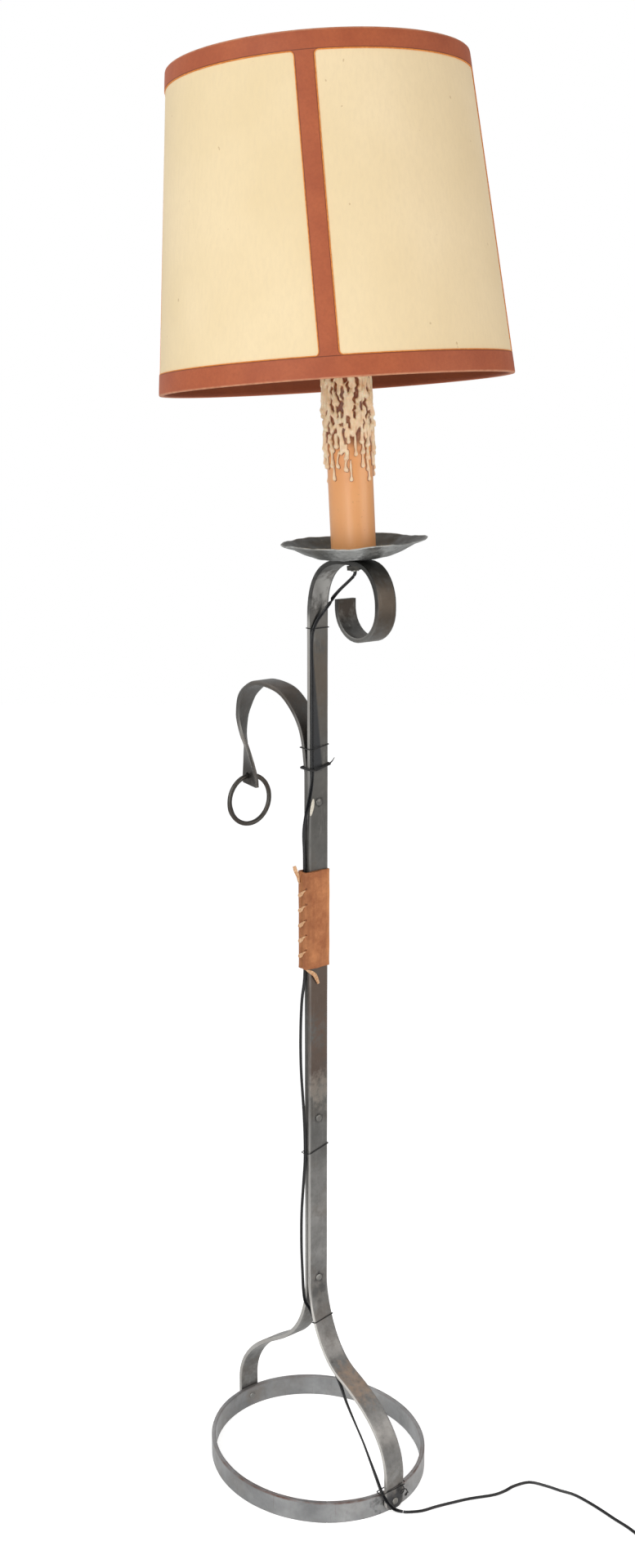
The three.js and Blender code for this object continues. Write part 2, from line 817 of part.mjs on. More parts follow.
// Hexagon nut with a round bore, its lower face at a height
function hex_nut(height, thickness) {
  const corner = nut_across_flats / 2 / Math.cos(Math.PI / 6);
  const shape = new THREE.Shape(
    Array.from({ length: 6 }, (_, i) => {
      const turn = (i * Math.PI) / 3;
      return new THREE.Vector2(corner * Math.cos(turn), corner * Math.sin(turn));
    }),
  );
  shape.holes.push(new THREE.Path().absarc(0, 0, rod_radius + seam_gap, 0, 2 * Math.PI));
  const nut = new THREE.ExtrudeGeometry(shape, { depth: thickness, bevelEnabled: false, curveSegments: 8 });
  return nut.translate(0, 0, height);
}

function tube(inner, outer, low, high, sides) {
  return turned([[inner, low], [outer, low], [outer, high], [inner, high]], sides);
}

// The drip dish: a beaten sheet whose rim waves and is drawn out to a point at both sides
function drip_dish() {
  const spokes = 36;
  const rings = Array.from({ length: spokes }, (_, i) => {
    const turn = (i * 2 * Math.PI) / spokes;
    const tip = dish_tip * Math.max(0, Math.abs(Math.cos(turn)) ** 14);
    const wave = dish_wave * (Math.sin(5 * turn + 1) + 0.6 * Math.sin(9 * turn));
    const lower = dish_profile_shares.map(([r, h]) => {
      const far = r ** 6;
      return [dish_radius * r + (tip + wave) * far, dish_lift + dish_height * h + wave * 0.6 * far];
    });
    const upper = lower.map(([r, z]) => [r - dish_sheet * 0.15, z + dish_sheet]).reverse();
    const inner = rod_hole_radius;
    const profile = [[inner, dish_lift], ...lower, ...upper, [inner, dish_lift + dish_sheet]];
    return profile.map(([r, z]) => at(r * Math.cos(turn), r * Math.sin(turn), z));
  });
  return skin(rings, true);
}

// Wax that has run down the candle: a skin whose lower edge hangs in fingers with swollen ends
function wax_drips() {
  const spokes = 60;
  const inner = candle_radius + seam_gap;
  const top = candle_lift + candle_length;
  const levels = [0, 0.07, 0.18, 0.42, 0.7, 1];
  const rings = Array.from({ length: spokes }, (_, i) => {
    const share = i / spokes;
    const turn = share * 2 * Math.PI;
    const reach = wax_reach(share);
    const low = top - wax_depth - reach * wax_finger_length;
    const outer = levels.map((level) => {
      const z = low + (top - low) * level;
      const bead = level < 0.2 && level > 0 ? wax_swell * 0.55 * Math.min(1, reach * 2) : 0;
      const ridge = wax_swell * (0.25 + 0.75 * Math.sin(level * 9 + share * 57) ** 2) * Math.min(1, level * 3);
      const edge = level === 0 ? wax_skin * 0.4 : wax_skin;
      return [inner + edge + bead + ridge * (0.4 + 0.6 * reach), z];
    });
    const profile = [[inner, low], ...outer, [inner, top]];
    return profile.map(([r, z]) => at(r * Math.cos(turn), r * Math.sin(turn), z));
  });
  return skin(rings, true);
}

// How far the lower edge of the wax hangs at a place round the candle, from 0 to 1
function wax_reach(share) {
  return wax_shares.reduce((best, [place, length]) => {
    const away = Math.abs(((share - place + 1.5) % 1) - 0.5) / wax_finger_width_share;
    const finger = away < 1 ? length * (1 - away ** 4) ** 0.5 : 0;
    return Math.max(best, finger);
  }, 0);
}

function holder_cap() {
  const [r, w, low, high] = [holder_radius, holder_wall, 0, holder_cap_height];
  const neck = rod_radius + seam_gap;
  const collar = neck + w;
  return turned(
    [
      [neck, low - w], [collar + w, low - w], [collar + w, low + w], [r - w, low + 3 * w], [r, low + 5 * w],
      [r, high], [r - w, high], [r - w, low + 5 * w], [r - 2 * w, low + 4 * w], [neck, low + 2 * w],
    ],
    20,
  );
}

const shell_foot = holder_cap_height + seam_gap;
const insulator_foot = shell_foot + holder_wall;
const insulator_top = insulator_foot + insulator_thickness;

function holder_shell() {
  const [r, w, low, high] = [holder_radius, holder_wall, shell_foot, shell_foot + holder_shell_height];
  return turned(
    [
      [r - 2 * w, low], [r, low], [r, high - w / 2], [r - w / 2, high],
      [r - w, high], [r - w, low + w / 2], [r - 2 * w, low + w / 2],
    ],
    24,
  );
}

function holder_insulator() {
  const r = holder_radius - holder_wall - seam_gap;
  return turned([[0, insulator_foot], [r, insulator_foot], [r, insulator_top], [0, insulator_top]], 24);
}

const screw_foot = insulator_top + seam_gap;
const bulb_foot = screw_foot + contact_height + seam_gap;

function screw_shell() {
  return tube(screw_radius, screw_radius + screw_wall, screw_foot, screw_foot + screw_height, 16);
}

function centre_contact() {
  const [r, low] = [contact_radius, screw_foot];
  const high = low + contact_height;
  return turned([[0, low], [r, low], [r, (low + high) / 2], [r / 2, high], [0, high]], 12);
}

function bulb_cap() {
  const r = screw_radius - seam_gap;
  const [low, high] = [bulb_foot, bulb_foot + bulb_cap_height];
  const grooves = 4;
  const tread = (high - low) / (grooves + 2);
  const thread = Array.from({ length: grooves * 2 }, (_, i) => {
    const depth = i % 2 ? 0 : screw_wall;
    return [r - depth, low + tread * (1 + i / 2)];
  });
  const foot = [[0, low], [contact_radius, low], [r - 2 * screw_wall, low + tread / 2]];
  return turned([...foot, ...thread, [r, high], [0, high]], 16);
}

function bulb_glass() {
  const low = bulb_foot + bulb_cap_height + seam_gap;
  const side = bulb_profile_shares.map(([r, h]) => [r * bulb_radius, low + h * bulb_glass_height]);
  return turned([[0, low], ...side, [0, low + bulb_glass_height]], 20);
}

// Radius of the shade's outer face at a height above its lower edge
const shade_radius = (height) => shade_bottom_radius + shade_slope * height;
const panel_offset = trim_thickness + seam_gap;
const wire_offset = panel_offset + panel_thickness + seam_gap + shade_wire_radius;
const wire_height = trim_thickness + seam_gap + shade_wire_radius;
const segment_turn = (2 * Math.PI) / shade_segments;

function polar(radius, turn, z) {
  return at(radius * Math.cos(turn), radius * Math.sin(turn), z);
}

// A curved sheet of the shade between two turns and two heights, at an offset inside the outer face
function shade_sheet(from, to, low, high, offset, thickness) {
  const steps = Math.max(1, Math.round((to - from) / segment_turn));
  const rings = Array.from({ length: steps + 1 }, (_, i) => {
    const turn = from + ((to - from) * i) / steps;
    const [a, b] = [shade_radius(low) - offset, shade_radius(high) - offset];
    return [
      polar(a - thickness, turn, low), polar(a, turn, low),
      polar(b, turn, high), polar(b - thickness, turn, high),
    ];
  });
  return skin(rings);
}

function shade_panel(index) {
  const quarter = (2 * Math.PI) / strip_count;
  const margin = seam_gap / 2 / shade_top_radius;
  const from = strip_turn * degrees + index * quarter;
  const low = trim_thickness + seam_gap;
  const high = shade_height - low;
  return shade_sheet(from + margin, from + quarter - margin, low, high, panel_offset, panel_thickness);
}

// A strip keeps its width all the way up, so its sides are worked out at each end. It was laid
// a little askew over the joint of the panels.
function shade_strip(index) {
  const middle = strip_turn * degrees + (index * 2 * Math.PI) / strip_count;
  const low = bottom_trim_height + seam_gap;
  const high = shade_height - top_trim_height - seam_gap;
  const steps = 2;
  const rings = Array.from({ length: steps + 1 }, (_, i) => {
    const side = (i / steps - 0.5) * strip_width;
    return [[low, trim_thickness], [low, 0], [high, 0], [high, trim_thickness]].map(([z, depth]) => {
      const skew = (z === low ? strip_skew_low : strip_skew_high) * degrees;
      return polar(shade_radius(z) - depth, middle + skew + side / shade_radius(z), z);
    });
  });
  return skin(rings);
}

// Section of a trim: folded over the panel's edge and the wire, then back against the panel inside
function trim_profile(height) {
  const t = trim_thickness;
  const fold = wire_offset + shade_wire_radius + seam_gap;
  const inside = panel_offset + panel_thickness + seam_gap;
  const knee = wire_height + shade_wire_radius + 2 * t;
  const rise = fold - inside;
  return [
    [0, 0], [0, height], [t, height], [t, t], [fold, t], [fold, knee], [inside, knee + rise],
    [inside, height], [inside + t, height], [inside + t, knee + rise + t / 2], [fold + t, knee + t / 2], [fold + t, 0],
  ];
}

function shade_trim(height, upper) {
  const profile = trim_profile(height);
  const rings = Array.from({ length: shade_segments }, (_, i) => {
    const turn = strip_turn * degrees + i * segment_turn;
    return profile.map(([depth, z]) => {
      const level = upper ? shade_height - z : z;
      return polar(shade_radius(level) - depth, turn, level);
    });
  });
  return skin(rings, true);
}

function shade_wire(height) {
  const stations = Array.from({ length: shade_segments }, (_, i) => {
    const turn = strip_turn * degrees + i * segment_turn;
    return { at: polar(shade_radius(height) - wire_offset, turn, height), across: at(0, 0, 1) };
  });
  return band(stations, round_section(shade_wire_radius, 6), true);
}

const arm_turns = Array.from({ length: arm_count }, (_, i) => (arm_turn + (i * 360) / arm_count) * degrees);

// Notches in the lower trim's inner fold, where the three arms go through to the wire
function arm_notches() {
  const radius = shade_bottom_radius - wire_offset - shade_wire_radius;
  const size = [2 * overrun + 2 * arm_radius, 2 * (arm_radius + seam_gap), bottom_trim_height];
  return arm_turns.map((turn) =>
    block(size, [radius - size[0] / 2, 0, trim_thickness + size[2] / 2 + seam_gap]).rotateZ(turn),
  );
}

function bottom_trim() {
  return cut(shade_trim(bottom_trim_height, false), ...arm_notches());
}

// Lower wire, three arms and the flat hub, welded into one frame
function shade_carrier() {
  const rim = shade_radius(wire_height) - wire_offset;
  const hub_inner = holder_radius + 2 * seam_gap;
  const hub = tube(hub_inner, hub_radius + arm_radius, hub_height, hub_height + hub_thickness, 20);
  const arms = arm_turns.map((turn) =>
    wire(
      [
        polar(rim, turn, wire_height),
        polar(rim - 4 * arm_radius, turn, wire_height + arm_radius),
        polar(hub_radius + 4 * arm_radius, turn, hub_height - arm_radius),
        polar(hub_radius - arm_radius, turn, hub_height + hub_thickness / 2),
      ],
      arm_radius,
      6,
      6,
    ),
  );
  return joined(shade_wire(wire_height), hub, ...arms);
}

// One of the two ring nuts that clamp the hub on the holder, ribbed for the fingers
function ring_nut(height) {
  const ribs = 12;
  const shape = new THREE.Shape(
    Array.from({ length: ribs * 2 }, (_, i) => {
      const turn = (i * Math.PI) / ribs;
      const reach = ring_nut_radius - (i % 2 ? seam_gap * 3 : 0);
      return new THREE.Vector2(reach * Math.cos(turn), reach * Math.sin(turn));
    }),
  );
  shape.holes.push(new THREE.Path().absarc(0, 0, holder_radius + seam_gap, 0, 2 * Math.PI));
  const flat = { depth: ring_nut_height, bevelEnabled: false, curveSegments: 12 };
  const nut = new THREE.ExtrudeGeometry(shape, flat);
  return nut.translate(0, 0, height);
}

// Route of the cable that the lamp holds: [across bars' plane, along their width, height] and its flat side
const cable_route = [
  { at: [72.3, 1.1, 1262.6], flat: [1, 0, 0.2] },
  { at: [69.2, 1.1, 1258.9], flat: [0.6, 0, 1] },
  { at: [60.7, 1, 1256.4], flat: [0.1, 0, 1] },
  { at: [40.9, 3, 1246.4], flat: [0.5, 0, 1] },
  { at: [24.5, 6, 1234], flat: [0.7, 0, 0.7] },
  { at: [14.8, 9, 1223], flat: [1, 0, 0.5] },
  { at: [8, 4, 1210], flat: [1, 0, 0] },
  { at: [5, -5, 1198], flat: [1, 0, 0] },
  { at: [4.9, -12.3, 1182], flat: [1, 0, 0] },
  { at: [4.9, -12.3, 1120], flat: [1, 0, 0] },
  { at: [4.9, -12.3, 1050], flat: [1, 0, 0] },
  { at: [4.9, -12.3, 1000], flat: [1, 0, 0] },
  { at: [4.9, -12.6, 982], flat: [1, 0, 0] },
  { at: [4.9, -16.8, 962], flat: [0.8, -0.6, 0] },
  { at: [0, -18.4, 942], flat: [0, -1, 0] },
  { at: [-6.2, -18.2, 920], flat: [0, -1, 0] },
  { at: [-6.2, -17.2, 890], flat: [0, -1, 0] },
  { at: [-6.2, -17.2, 800], flat: [0, -1, 0] },
  { at: [-6.2, -17.2, 720], flat: [0, -1, 0] },
  { at: [-7, -21, 690], flat: [0, -1, 0] },
  { at: [-8, -22.7, 640], flat: [0, -1, 0] },
  { at: [-8, -22, 590], flat: [0, -1, 0] },
  { at: [-7, -18.4, 530], flat: [0, -1, 0] },
  { at: [-6.2, -17.2, 490], flat: [0, -1, 0] },
  { at: [-6.2, -17.2, 455], flat: [0, -1, 0] },
  { at: [-7, -19, 423], flat: [0, -1, 0] },
  { at: [-8, -21.5, 380], flat: [0, -1, 0] },
  { at: [-8, -22, 330], flat: [0, -1, 0] },
  { at: [-7, -21, 288], flat: [0, -1, 0] },
  { at: [-5.5, -20.5, 262], flat: [0.2, -1, 0] },
  { at: [-3.6, -18.9, 246], flat: [0.7, -0.7, 0] },
  { at: [-2.4, -13, 234], flat: [1, 0, 0] },
  { at: [0.5, -7.5, 220], flat: [1, 0, 0.2] },
  { at: [6, -6, 207], flat: [1, 0, 0.5] },
  { at: [15, -6, 193], flat: [0.7, 0, 0.7] },
  { at: [36, -6, 167], flat: [0.5, 0, 1] },
  { at: [60, -6, 138], flat: [0, 0, 1] },
  { at: [75, -9, 122.5], flat: [0, 0, 1] },
  { at: [96, -10, 99.4], flat: [0, 0, 1] },
  { at: [110.9, -10, 81.9], flat: [0, 0, 1] },
  { at: [127.4, -12, 64], flat: [0, 0, 1] },
  { at: [145.7, -16.5, 50], flat: [0, 0, 1] },
  { at: [158.5, -19.6, 39.5], flat: [0.4, 0, 1] },
  { at: [166, -19.8, 31], flat: [1, 0, 0.4] },
  { at: [169.4, -16.8, 24], flat: [1, -0.3, 0] },
  { at: [169.2, -11, 15.5], flat: [1, 0, 0] },
  { at: [169.5, -4, 7], flat: [1, 0, 0.3] },
  { at: [171.5, 1.6, 2.9], flat: [0.5, 0, 1] },
];

// Route of the free lead over the floor, [x, y] in the frame of the pole, as far as the switch
const lead_route = [
  [141.4, -130.7], [160.8, -122], [183.7, -113.2], [209, -104.4], [244.7, -95.5],
  [260.3, -86.5], [271.5, -77.5], [295.2, -68.4], [319.1, -77.5], [334.8, -86.5], [352.7, -95.5],
  [371.3, -113.2], [386.4, -130.7], [400.1, -147.9], [414.7, -164.9], [423, -177], [430.5, -190],
];

// A flat cord through stops on a smooth curve, its flat side turned as they say; bends get more steps
function flat_cord(route) {
  const curve = new THREE.CatmullRomCurve3(route.map((stop) => stop.at), false, "centripetal");
  const last = route.length - 1;
  const shares = route.slice(0, last).flatMap((_, i) => {
    const bend = curve.getTangent(i / last).angleTo(curve.getTangent((i + 1) / last));
    const steps = THREE.MathUtils.clamp(Math.ceil(bend / cord_step_bend), 1, 3);
    return Array.from({ length: steps }, (_, k) => (i + k / steps) / last);
  });
  const stations = [...shares, 1].map((share) => {
    const index = Math.min(Math.floor(share * last), last - 1);
    const flat = route[index].flat.clone().lerp(route[index + 1].flat, share * last - index);
    return { at: curve.getPoint(share), across: curve.getTangent(share).cross(flat) };
  });
  return band(stations, cable_section);
}

const cord_step_bend = Math.PI / 12;
const to_stop = ({ at: place, flat }) => ({ at: at(...place), flat: at(...flat) });

// The whole held cable: down the bore of the rod, along the bars and over the foot to the floor
function pole_cable(in_rod) {
  const inside = in_rod.map((place) => ({ at: place, flat: at(1, 0, 0) }));
  const end = { at: at(...lead_exit, cord_floor), flat: at(0, 0, 1) };
  return flat_cord([...inside, ...cable_route.map(to_stop), end]);
}

const switch_cord_height = switch_base_height + seam_gap / 2;

// How far before the switch's inlet the lead lifts off the floor: [back, aside, share of the climb]
const lead_climb = [[16, 9, 0.14], [9.5, 2.7, 0.6], [5, 0.2, 0.93], [0, 0, 1], [-cord_entry, 0, 1]];

function free_lead(start, second) {
  const on_floor = lead_route.map(([x, y]) => at(x, y, cord_floor));
  const climb = lead_climb.map(([back, aside, share]) =>
    at(
      switch_inlet[0] - back,
      switch_inlet[1] + aside,
      THREE.MathUtils.lerp(cord_floor, switch_cord_height, share),
    ),
  );
  const route = [start, second, ...on_floor, ...climb].map((place) => ({ at: place, flat: at(0, 0, 1) }));
  return flat_cord(route);
}

// Centre line of the coil: turns that spiral in and out, layer by layer
function coil_line() {
  const layer_turns = coil_turns / coil_layers;
  const outer = coil_inner_radius + coil_pitch * layer_turns;
  const low = cable_thickness / 2 + coil_lift;
  const steps = coil_turns * coil_steps;
  return Array.from({ length: steps + 1 }, (_, i) => {
    const turns = i / coil_steps;
    const layer = Math.min(Math.floor(turns / layer_turns), coil_layers - 1);
    const share = turns / layer_turns - layer;
    const outward = layer % 2 ? share : 1 - share;
    const radius = coil_inner_radius + outward * (outer - coil_inner_radius);
    const turn = -Math.PI / 2 + turns * 2 * Math.PI;
    return at(
      coil_center[0] + radius * Math.cos(turn),
      coil_center[1] + radius * Math.sin(turn),
      low + coil_rise * climbed(turns, layer_turns),
    );
  });
}

// Layers climbed after so many turns: each climb takes the half turn round a reversal
function climbed(turns, layer_turns) {
  const half = 0.25;
  return Array.from({ length: coil_layers - 1 }, (_, i) => (i + 1) * layer_turns).reduce(
    (sum, reversal) => sum + THREE.MathUtils.clamp((turns - reversal + half) / (2 * half), 0, 1),
    0,
  );
}

const coil_outer_radius = coil_inner_radius + (coil_pitch * coil_turns) / coil_layers;
const plug_inlet = [coil_center[0] - plug_from_coil, coil_center[1] + coil_outer_radius];
const plug_axis = plug_height / 2;

// The wound lead: out of the switch, round the coil and over to the plug, as one tube
function cord_coil() {
  const coil = coil_line();
  const first = coil[0];
  const last = coil[coil.length - 1];
  const outlet = switch_inlet[0] + switch_length;
  const run = first.x - outlet;
  const lead_in = [
    at(outlet - cord_entry, switch_inlet[1], switch_cord_height),
    at(outlet, switch_inlet[1], switch_cord_height),
    at(outlet + run * 0.15, switch_inlet[1], switch_cord_height),
    at(outlet + run * 0.55, (switch_inlet[1] + first.y) / 2, (switch_cord_height + first.z) / 2),
    at(outlet + run * 0.8, first.y, first.z),
  ];
  const tail_run = last.x - plug_inlet[0];
  const lead_out = [
    at(last.x - tail_run * 0.35, last.y, last.z - (last.z - plug_axis) * 0.2),
    at(last.x - tail_run * 0.7, last.y, plug_axis + (last.z - plug_axis) * 0.15),
    at(plug_inlet[0] + cable_width, plug_inlet[1], plug_axis),
    at(plug_inlet[0] + seam_gap, plug_inlet[1], plug_axis),
  ];
  const line = [...lead_in, ...coil, ...lead_out];
  console.log("least gap of the coil to itself, mm:", least_gap(line).toFixed(2));
  return band(line.map((place) => ({ at: place, across: sideways(place) })), cable_section);
}

// Across direction of the coil's flat cord: out from the coil's middle, level with the floor
function sideways(place) {
  const out = at(place.x - coil_center[0], place.y - coil_center[1], 0);
  const beyond = Math.abs(out.x) > coil_inner_radius * 1.9 || out.length() > coil_inner_radius * 2;
  return beyond ? at(0, 1, 0) : out;
}

// Least clear distance between two turns of the flat cord, taken as two round cores side by side
function least_gap(line) {
  const core = cable_thickness / 2;
  const spread = cable_width / 2 - core;
  const skip = coil_steps / 2;
  let least = Infinity;
  for (let i = 0; i < line.length; i += 1) {
    for (let j = i + skip; j < line.length; j += 1) {
      const flat = Math.hypot(line[i].x - line[j].x, line[i].y - line[j].y);
      const beside = Math.max(0, flat - 2 * spread);
      least = Math.min(least, Math.hypot(beside, line[i].z - line[j].z) - 2 * core);
    }
  }
  return least;
}

// A flat tie round the bundle of the coil at its near side
function coil_tie() {
  const outer = coil_inner_radius + (coil_pitch * coil_turns) / coil_layers;
  const clear = cable_width / 2 + seam_gap;
  const [low, high] = [coil_inner_radius - clear, outer + clear];
  const bottom = coil_tie_thickness;
  const top = coil_lift + cable_thickness + coil_rise * (coil_layers - 1) + seam_gap;
  const t = coil_tie_thickness;
  const shape = rounded(low - t, high + t, bottom - t, top + t, 3 * t);
  shape.holes.push(rounded(low, high, bottom, top, 2 * t));
  const flat = { depth: coil_tie_width, bevelEnabled: false, curveSegments: 2 };
  const loop = new THREE.ExtrudeGeometry(shape, flat);
  loop.translate(0, 0, -coil_tie_width / 2).rotateX(Math.PI / 2);
  return loop.rotateZ(-Math.PI / 5).translate(...coil_center, 0);
}

// In-line switch, in its own frame: X along the cord, Z up from the floor
function switch_outline(inset) {
  const [x, y] = [switch_length / 2 - inset, switch_width / 2 - inset];
  return rounded(-x, x, -y, y, switch_corner - inset);
}

function switch_box(low, height, inset = 0) {
  const box = new THREE.ExtrudeGeometry(switch_outline(inset), {
    depth: height,
    bevelEnabled: false,
    curveSegments: 4,
  });
  return box.translate(0, 0, low);
}

function cord_slot() {
  const size = [switch_length + overrun, cable_width + 2 * seam_gap, cable_thickness + 2 * seam_gap];
  return block(size, [0, 0, switch_cord_height]);
}

const post_place = rocker_width / 2 + 2 * seam_gap + switch_wall / 2;

function switch_base() {
  const tray = cut(
    switch_box(0, switch_base_height),
    switch_box(switch_wall, switch_base_height, switch_wall),
    cord_slot(),
  );
  const posts = [-1, 1].map((side) => {
    const width = 4 * rocker_axle_radius;
    const post = block(
      [width, switch_wall, rocker_axle_height - seam_gap],
      [0, side * post_place, (rocker_axle_height + seam_gap) / 2],
    );
    const notch = rod_between(
      at(0, side * post_place - switch_wall, rocker_axle_height),
      at(0, side * post_place + switch_wall, rocker_axle_height),
      rocker_axle_radius + seam_gap,
      12,
    );
    return cut(post, notch);
  });
  return joined(tray, ...posts);
}

function switch_cover() {
  const low = switch_base_height + seam_gap;
  const window_size = [rocker_length + 8 * seam_gap, rocker_width + 2 * seam_gap, switch_cover_height * 2];
  return cut(
    switch_box(low, switch_cover_height),
    switch_box(low - switch_wall, switch_cover_height, switch_wall),
    cord_slot(),
    block(window_size, [0, 0, low + switch_cover_height]),
  );
}

// Rocker: two wings in a shallow V on an axle, resting with one wing pressed down
function switch_rocker() {
  const x = rocker_length / 2;
  const dip = x * Math.tan(rocker_tilt * degrees);
  const shape = new THREE.Shape();
  shape.moveTo(-x, rocker_rise + dip);
  shape.lineTo(-x, rocker_rise - dip);
  shape.lineTo(-2 * rocker_axle_radius, -rocker_axle_radius);
  shape.lineTo(2 * rocker_axle_radius, -rocker_axle_radius);
  shape.lineTo(x, rocker_rise - dip);
  shape.lineTo(x, rocker_rise + dip);
  shape.lineTo(0, rocker_rise);
  const body = new THREE.ExtrudeGeometry(shape, { depth: rocker_width, bevelEnabled: false });
  body.translate(0, 0, -rocker_width / 2).rotateX(Math.PI / 2);
  const reach = post_place + switch_wall / 2;
  const axle = rod_between(at(0, -reach, 0), at(0, reach, 0), rocker_axle_radius, 12);
  const rocker = joined(body, axle);
  return rocker.rotateY(-rocker_tilt * degrees).translate(0, 0, rocker_axle_height);
}

function switch_contacts() {
  const low = switch_wall + seam_gap;
  const rail = block([switch_length / 3, cable_width, switch_wall], [0, 0, low + switch_wall / 2]);
  const ends = [-1, 1].map((side) =>
    block([switch_wall * 2, cable_width, 2 * switch_wall], [(side * switch_length) / 7, 0, low + switch_wall]),
  );
  return joined(rail, ...ends);
}

// Flat two-pin plug, in its own frame: X towards the pins, its axis at half height
function plug_body() {
  const [x, y, z] = [plug_length, plug_width / 2, plug_height / 2];
  const shape = new THREE.Shape();
  shape.moveTo(0, -y * 0.45);
  shape.lineTo(x * 0.45, -y);
  shape.lineTo(x, -y);
  shape.lineTo(x, y);
  shape.lineTo(x * 0.45, y);
  shape.lineTo(0, y * 0.45);
  const bevel = z * 0.3;
  const body = new THREE.ExtrudeGeometry(shape, {
    depth: plug_height - 2 * bevel,
    bevelThickness: bevel,
    bevelSize: bevel,
    bevelOffset: -bevel,
    bevelSegments: 2,
  });
  body.translate(0, 0, bevel);
  const sockets = [-1, 1].map((side) => {
    const w = (side * plug_pin_spacing) / 2;
    const from = at(x - 2 * overrun, w, z);
    return rod_between(from, at(x + overrun, w, z), plug_pin_radius + seam_gap, 12);
  });
  return cut(body, ...sockets);
}

function plug_pin(side) {
  const w = (side * plug_pin_spacing) / 2;
  const root = plug_length - 2 * overrun + seam_gap;
  return rod_between(at(root, w, plug_axis), at(plug_length + plug_pin_length, w, plug_axis), plug_pin_radius, 12);
}

// Tapered strain relief with ribs, from the cord up to the plug's body
function strain_relief() {
  const ribs = 4;
  const [low, high] = [-relief_length, -seam_gap];
  const step = (high - low) / (ribs * 2);
  const side = Array.from({ length: ribs * 2 + 1 }, (_, i) => {
    const taper = relief_radius * (0.72 + (0.28 * i) / (ribs * 2));
    return [taper - (i % 2 ? relief_radius * 0.12 : 0), low + i * step];
  });
  const body = turned([[0, low], ...side, [0, high]], 12);
  return body.rotateY(Math.PI / 2).translate(0, 0, plug_axis);
}

// Assembly
const lamp = new THREE.Group();
const ironwork = new THREE.Group();
const head = new THREE.Group();
const dish_frame = new THREE.Group();
const rod_frame = new THREE.Group();
const holder = new THREE.Group();
const shade = new THREE.Group();
const lead = new THREE.Group();
const switch_frame = new THREE.Group();
const plug_frame = new THREE.Group();
lamp.add(ironwork, head, lead);
head.add(dish_frame, rod_frame, holder);
holder.add(shade);
lead.add(switch_frame, plug_frame);

ironwork.rotation.z = -bar_plane_angle * degrees;
const seat_turn = -bar_plane_angle * degrees;
head.position.set(rod_place * Math.cos(seat_turn), rod_place * Math.sin(seat_turn), seat_top);
dish_frame.rotation.set(-dish_lean_back * degrees, -dish_lean_left * degrees, 0);
rod_frame.rotation.set(-rod_lean_back * degrees, -rod_lean_left * degrees, 0);
holder.position.set(0, 0, rod_reach).applyEuler(rod_frame.rotation);
holder.rotation.set(-holder_lean_back * degrees, -holder_lean_left * degrees, 0);
shade.position.z = -shade_drop;
switch_frame.position.set(switch_inlet[0] + switch_length / 2, switch_inlet[1], 0);
plug_frame.position.set(plug_inlet[0] - relief_length, plug_inlet[1], 0);
plug_frame.rotation.z = Math.PI;
lamp.updateMatrixWorld(true);

const on_axis = (frame, t) => ironwork.worldToLocal(frame.localToWorld(at(0, 0, t)));
const in_rod = [
  on_axis(holder, holder_cap_height),
  ...[1, 0.7, 0.35, 0.03].map((share) => on_axis(rod_frame, rod_reach * share)),
  on_axis(rod_frame, -rod_below_seat + 2 * seam_gap),
];
const exit_place = ironwork.localToWorld(at(...lead_exit, cord_floor));
const exit_run = exit_place.clone().sub(ironwork.localToWorld(at(...cable_route.at(-1).at)));
exit_run.setZ(0).normalize();
const lead_start = exit_place.clone().addScaledVector(exit_run, 2 * seam_gap);
const lead_second = exit_place.clone().addScaledVector(exit_run, cable_width + 2 * seam_gap);

ironwork.add(
  piece("base_ring", base_ring(), iron_ring),
  piece("pole_bar", pole_bar(), iron),
  piece("back_bar", back_bar(), iron),
  ...rivet_heights.map((z, i) => piece(`pole_rivet_${i + 1}`, rivet(pole_back, pole_front, z), iron)),
  piece(
    "front_foot_rivet",
    rivet(ring_long_radius - stock_thickness, plate_line + half_thickness, foot_rivet_height),
    iron,
  ),
  piece(
    "back_foot_rivet",
    rivet(-plate_line - half_thickness, -ring_long_radius + stock_thickness, foot_rivet_height),
    iron,
  ),
  piece("hanging_ring", hanging_ring(), iron),
  piece("leather_sleeve", leather_sleeve(), leather),
  piece("sleeve_lace", sleeve_lace(), thong),
  piece("top_thread", top_thread(), black_cord),
  piece("hook_wire", hook_wire(), steel),
  piece("black_tie", black_tie(), black_cord),
  piece("low_thread", low_thread(), black_cord),
  piece("leg_wire", leg_wire(), steel),
  piece("foot_wire", foot_wire(), steel),
  piece("pole_cable", pole_cable(in_rod), black_cord),
);

const dish_top = dish_lift + dish_sheet;
dish_frame.add(
  piece("drip_dish", drip_dish(), iron),
  piece(
    "dish_washer",
    tube(rod_hole_radius, washer_radius, dish_top + seam_gap, dish_top + seam_gap + washer_thickness, 20),
    steel,
  ),
  piece(
    "candle_sleeve",
    tube(candle_radius - candle_wall, candle_radius, candle_lift, candle_lift + candle_length, 32),
    candle_card,
  ),
  piece("wax_drips", wax_drips(), wax),
);

const nut_foot = dish_top + 2 * seam_gap + washer_thickness + 2 * seam_gap;
rod_frame.add(
  piece(
    "threaded_rod",
    tube(rod_bore_radius, rod_radius, -rod_below_seat, rod_reach + rod_into_cap, 16),
    steel,
  ),
  piece("arch_nut", hex_nut(arch_nut_foot, arch_nut_thickness), steel),
  piece("dish_nut", hex_nut(nut_foot, nut_thickness), steel),
);

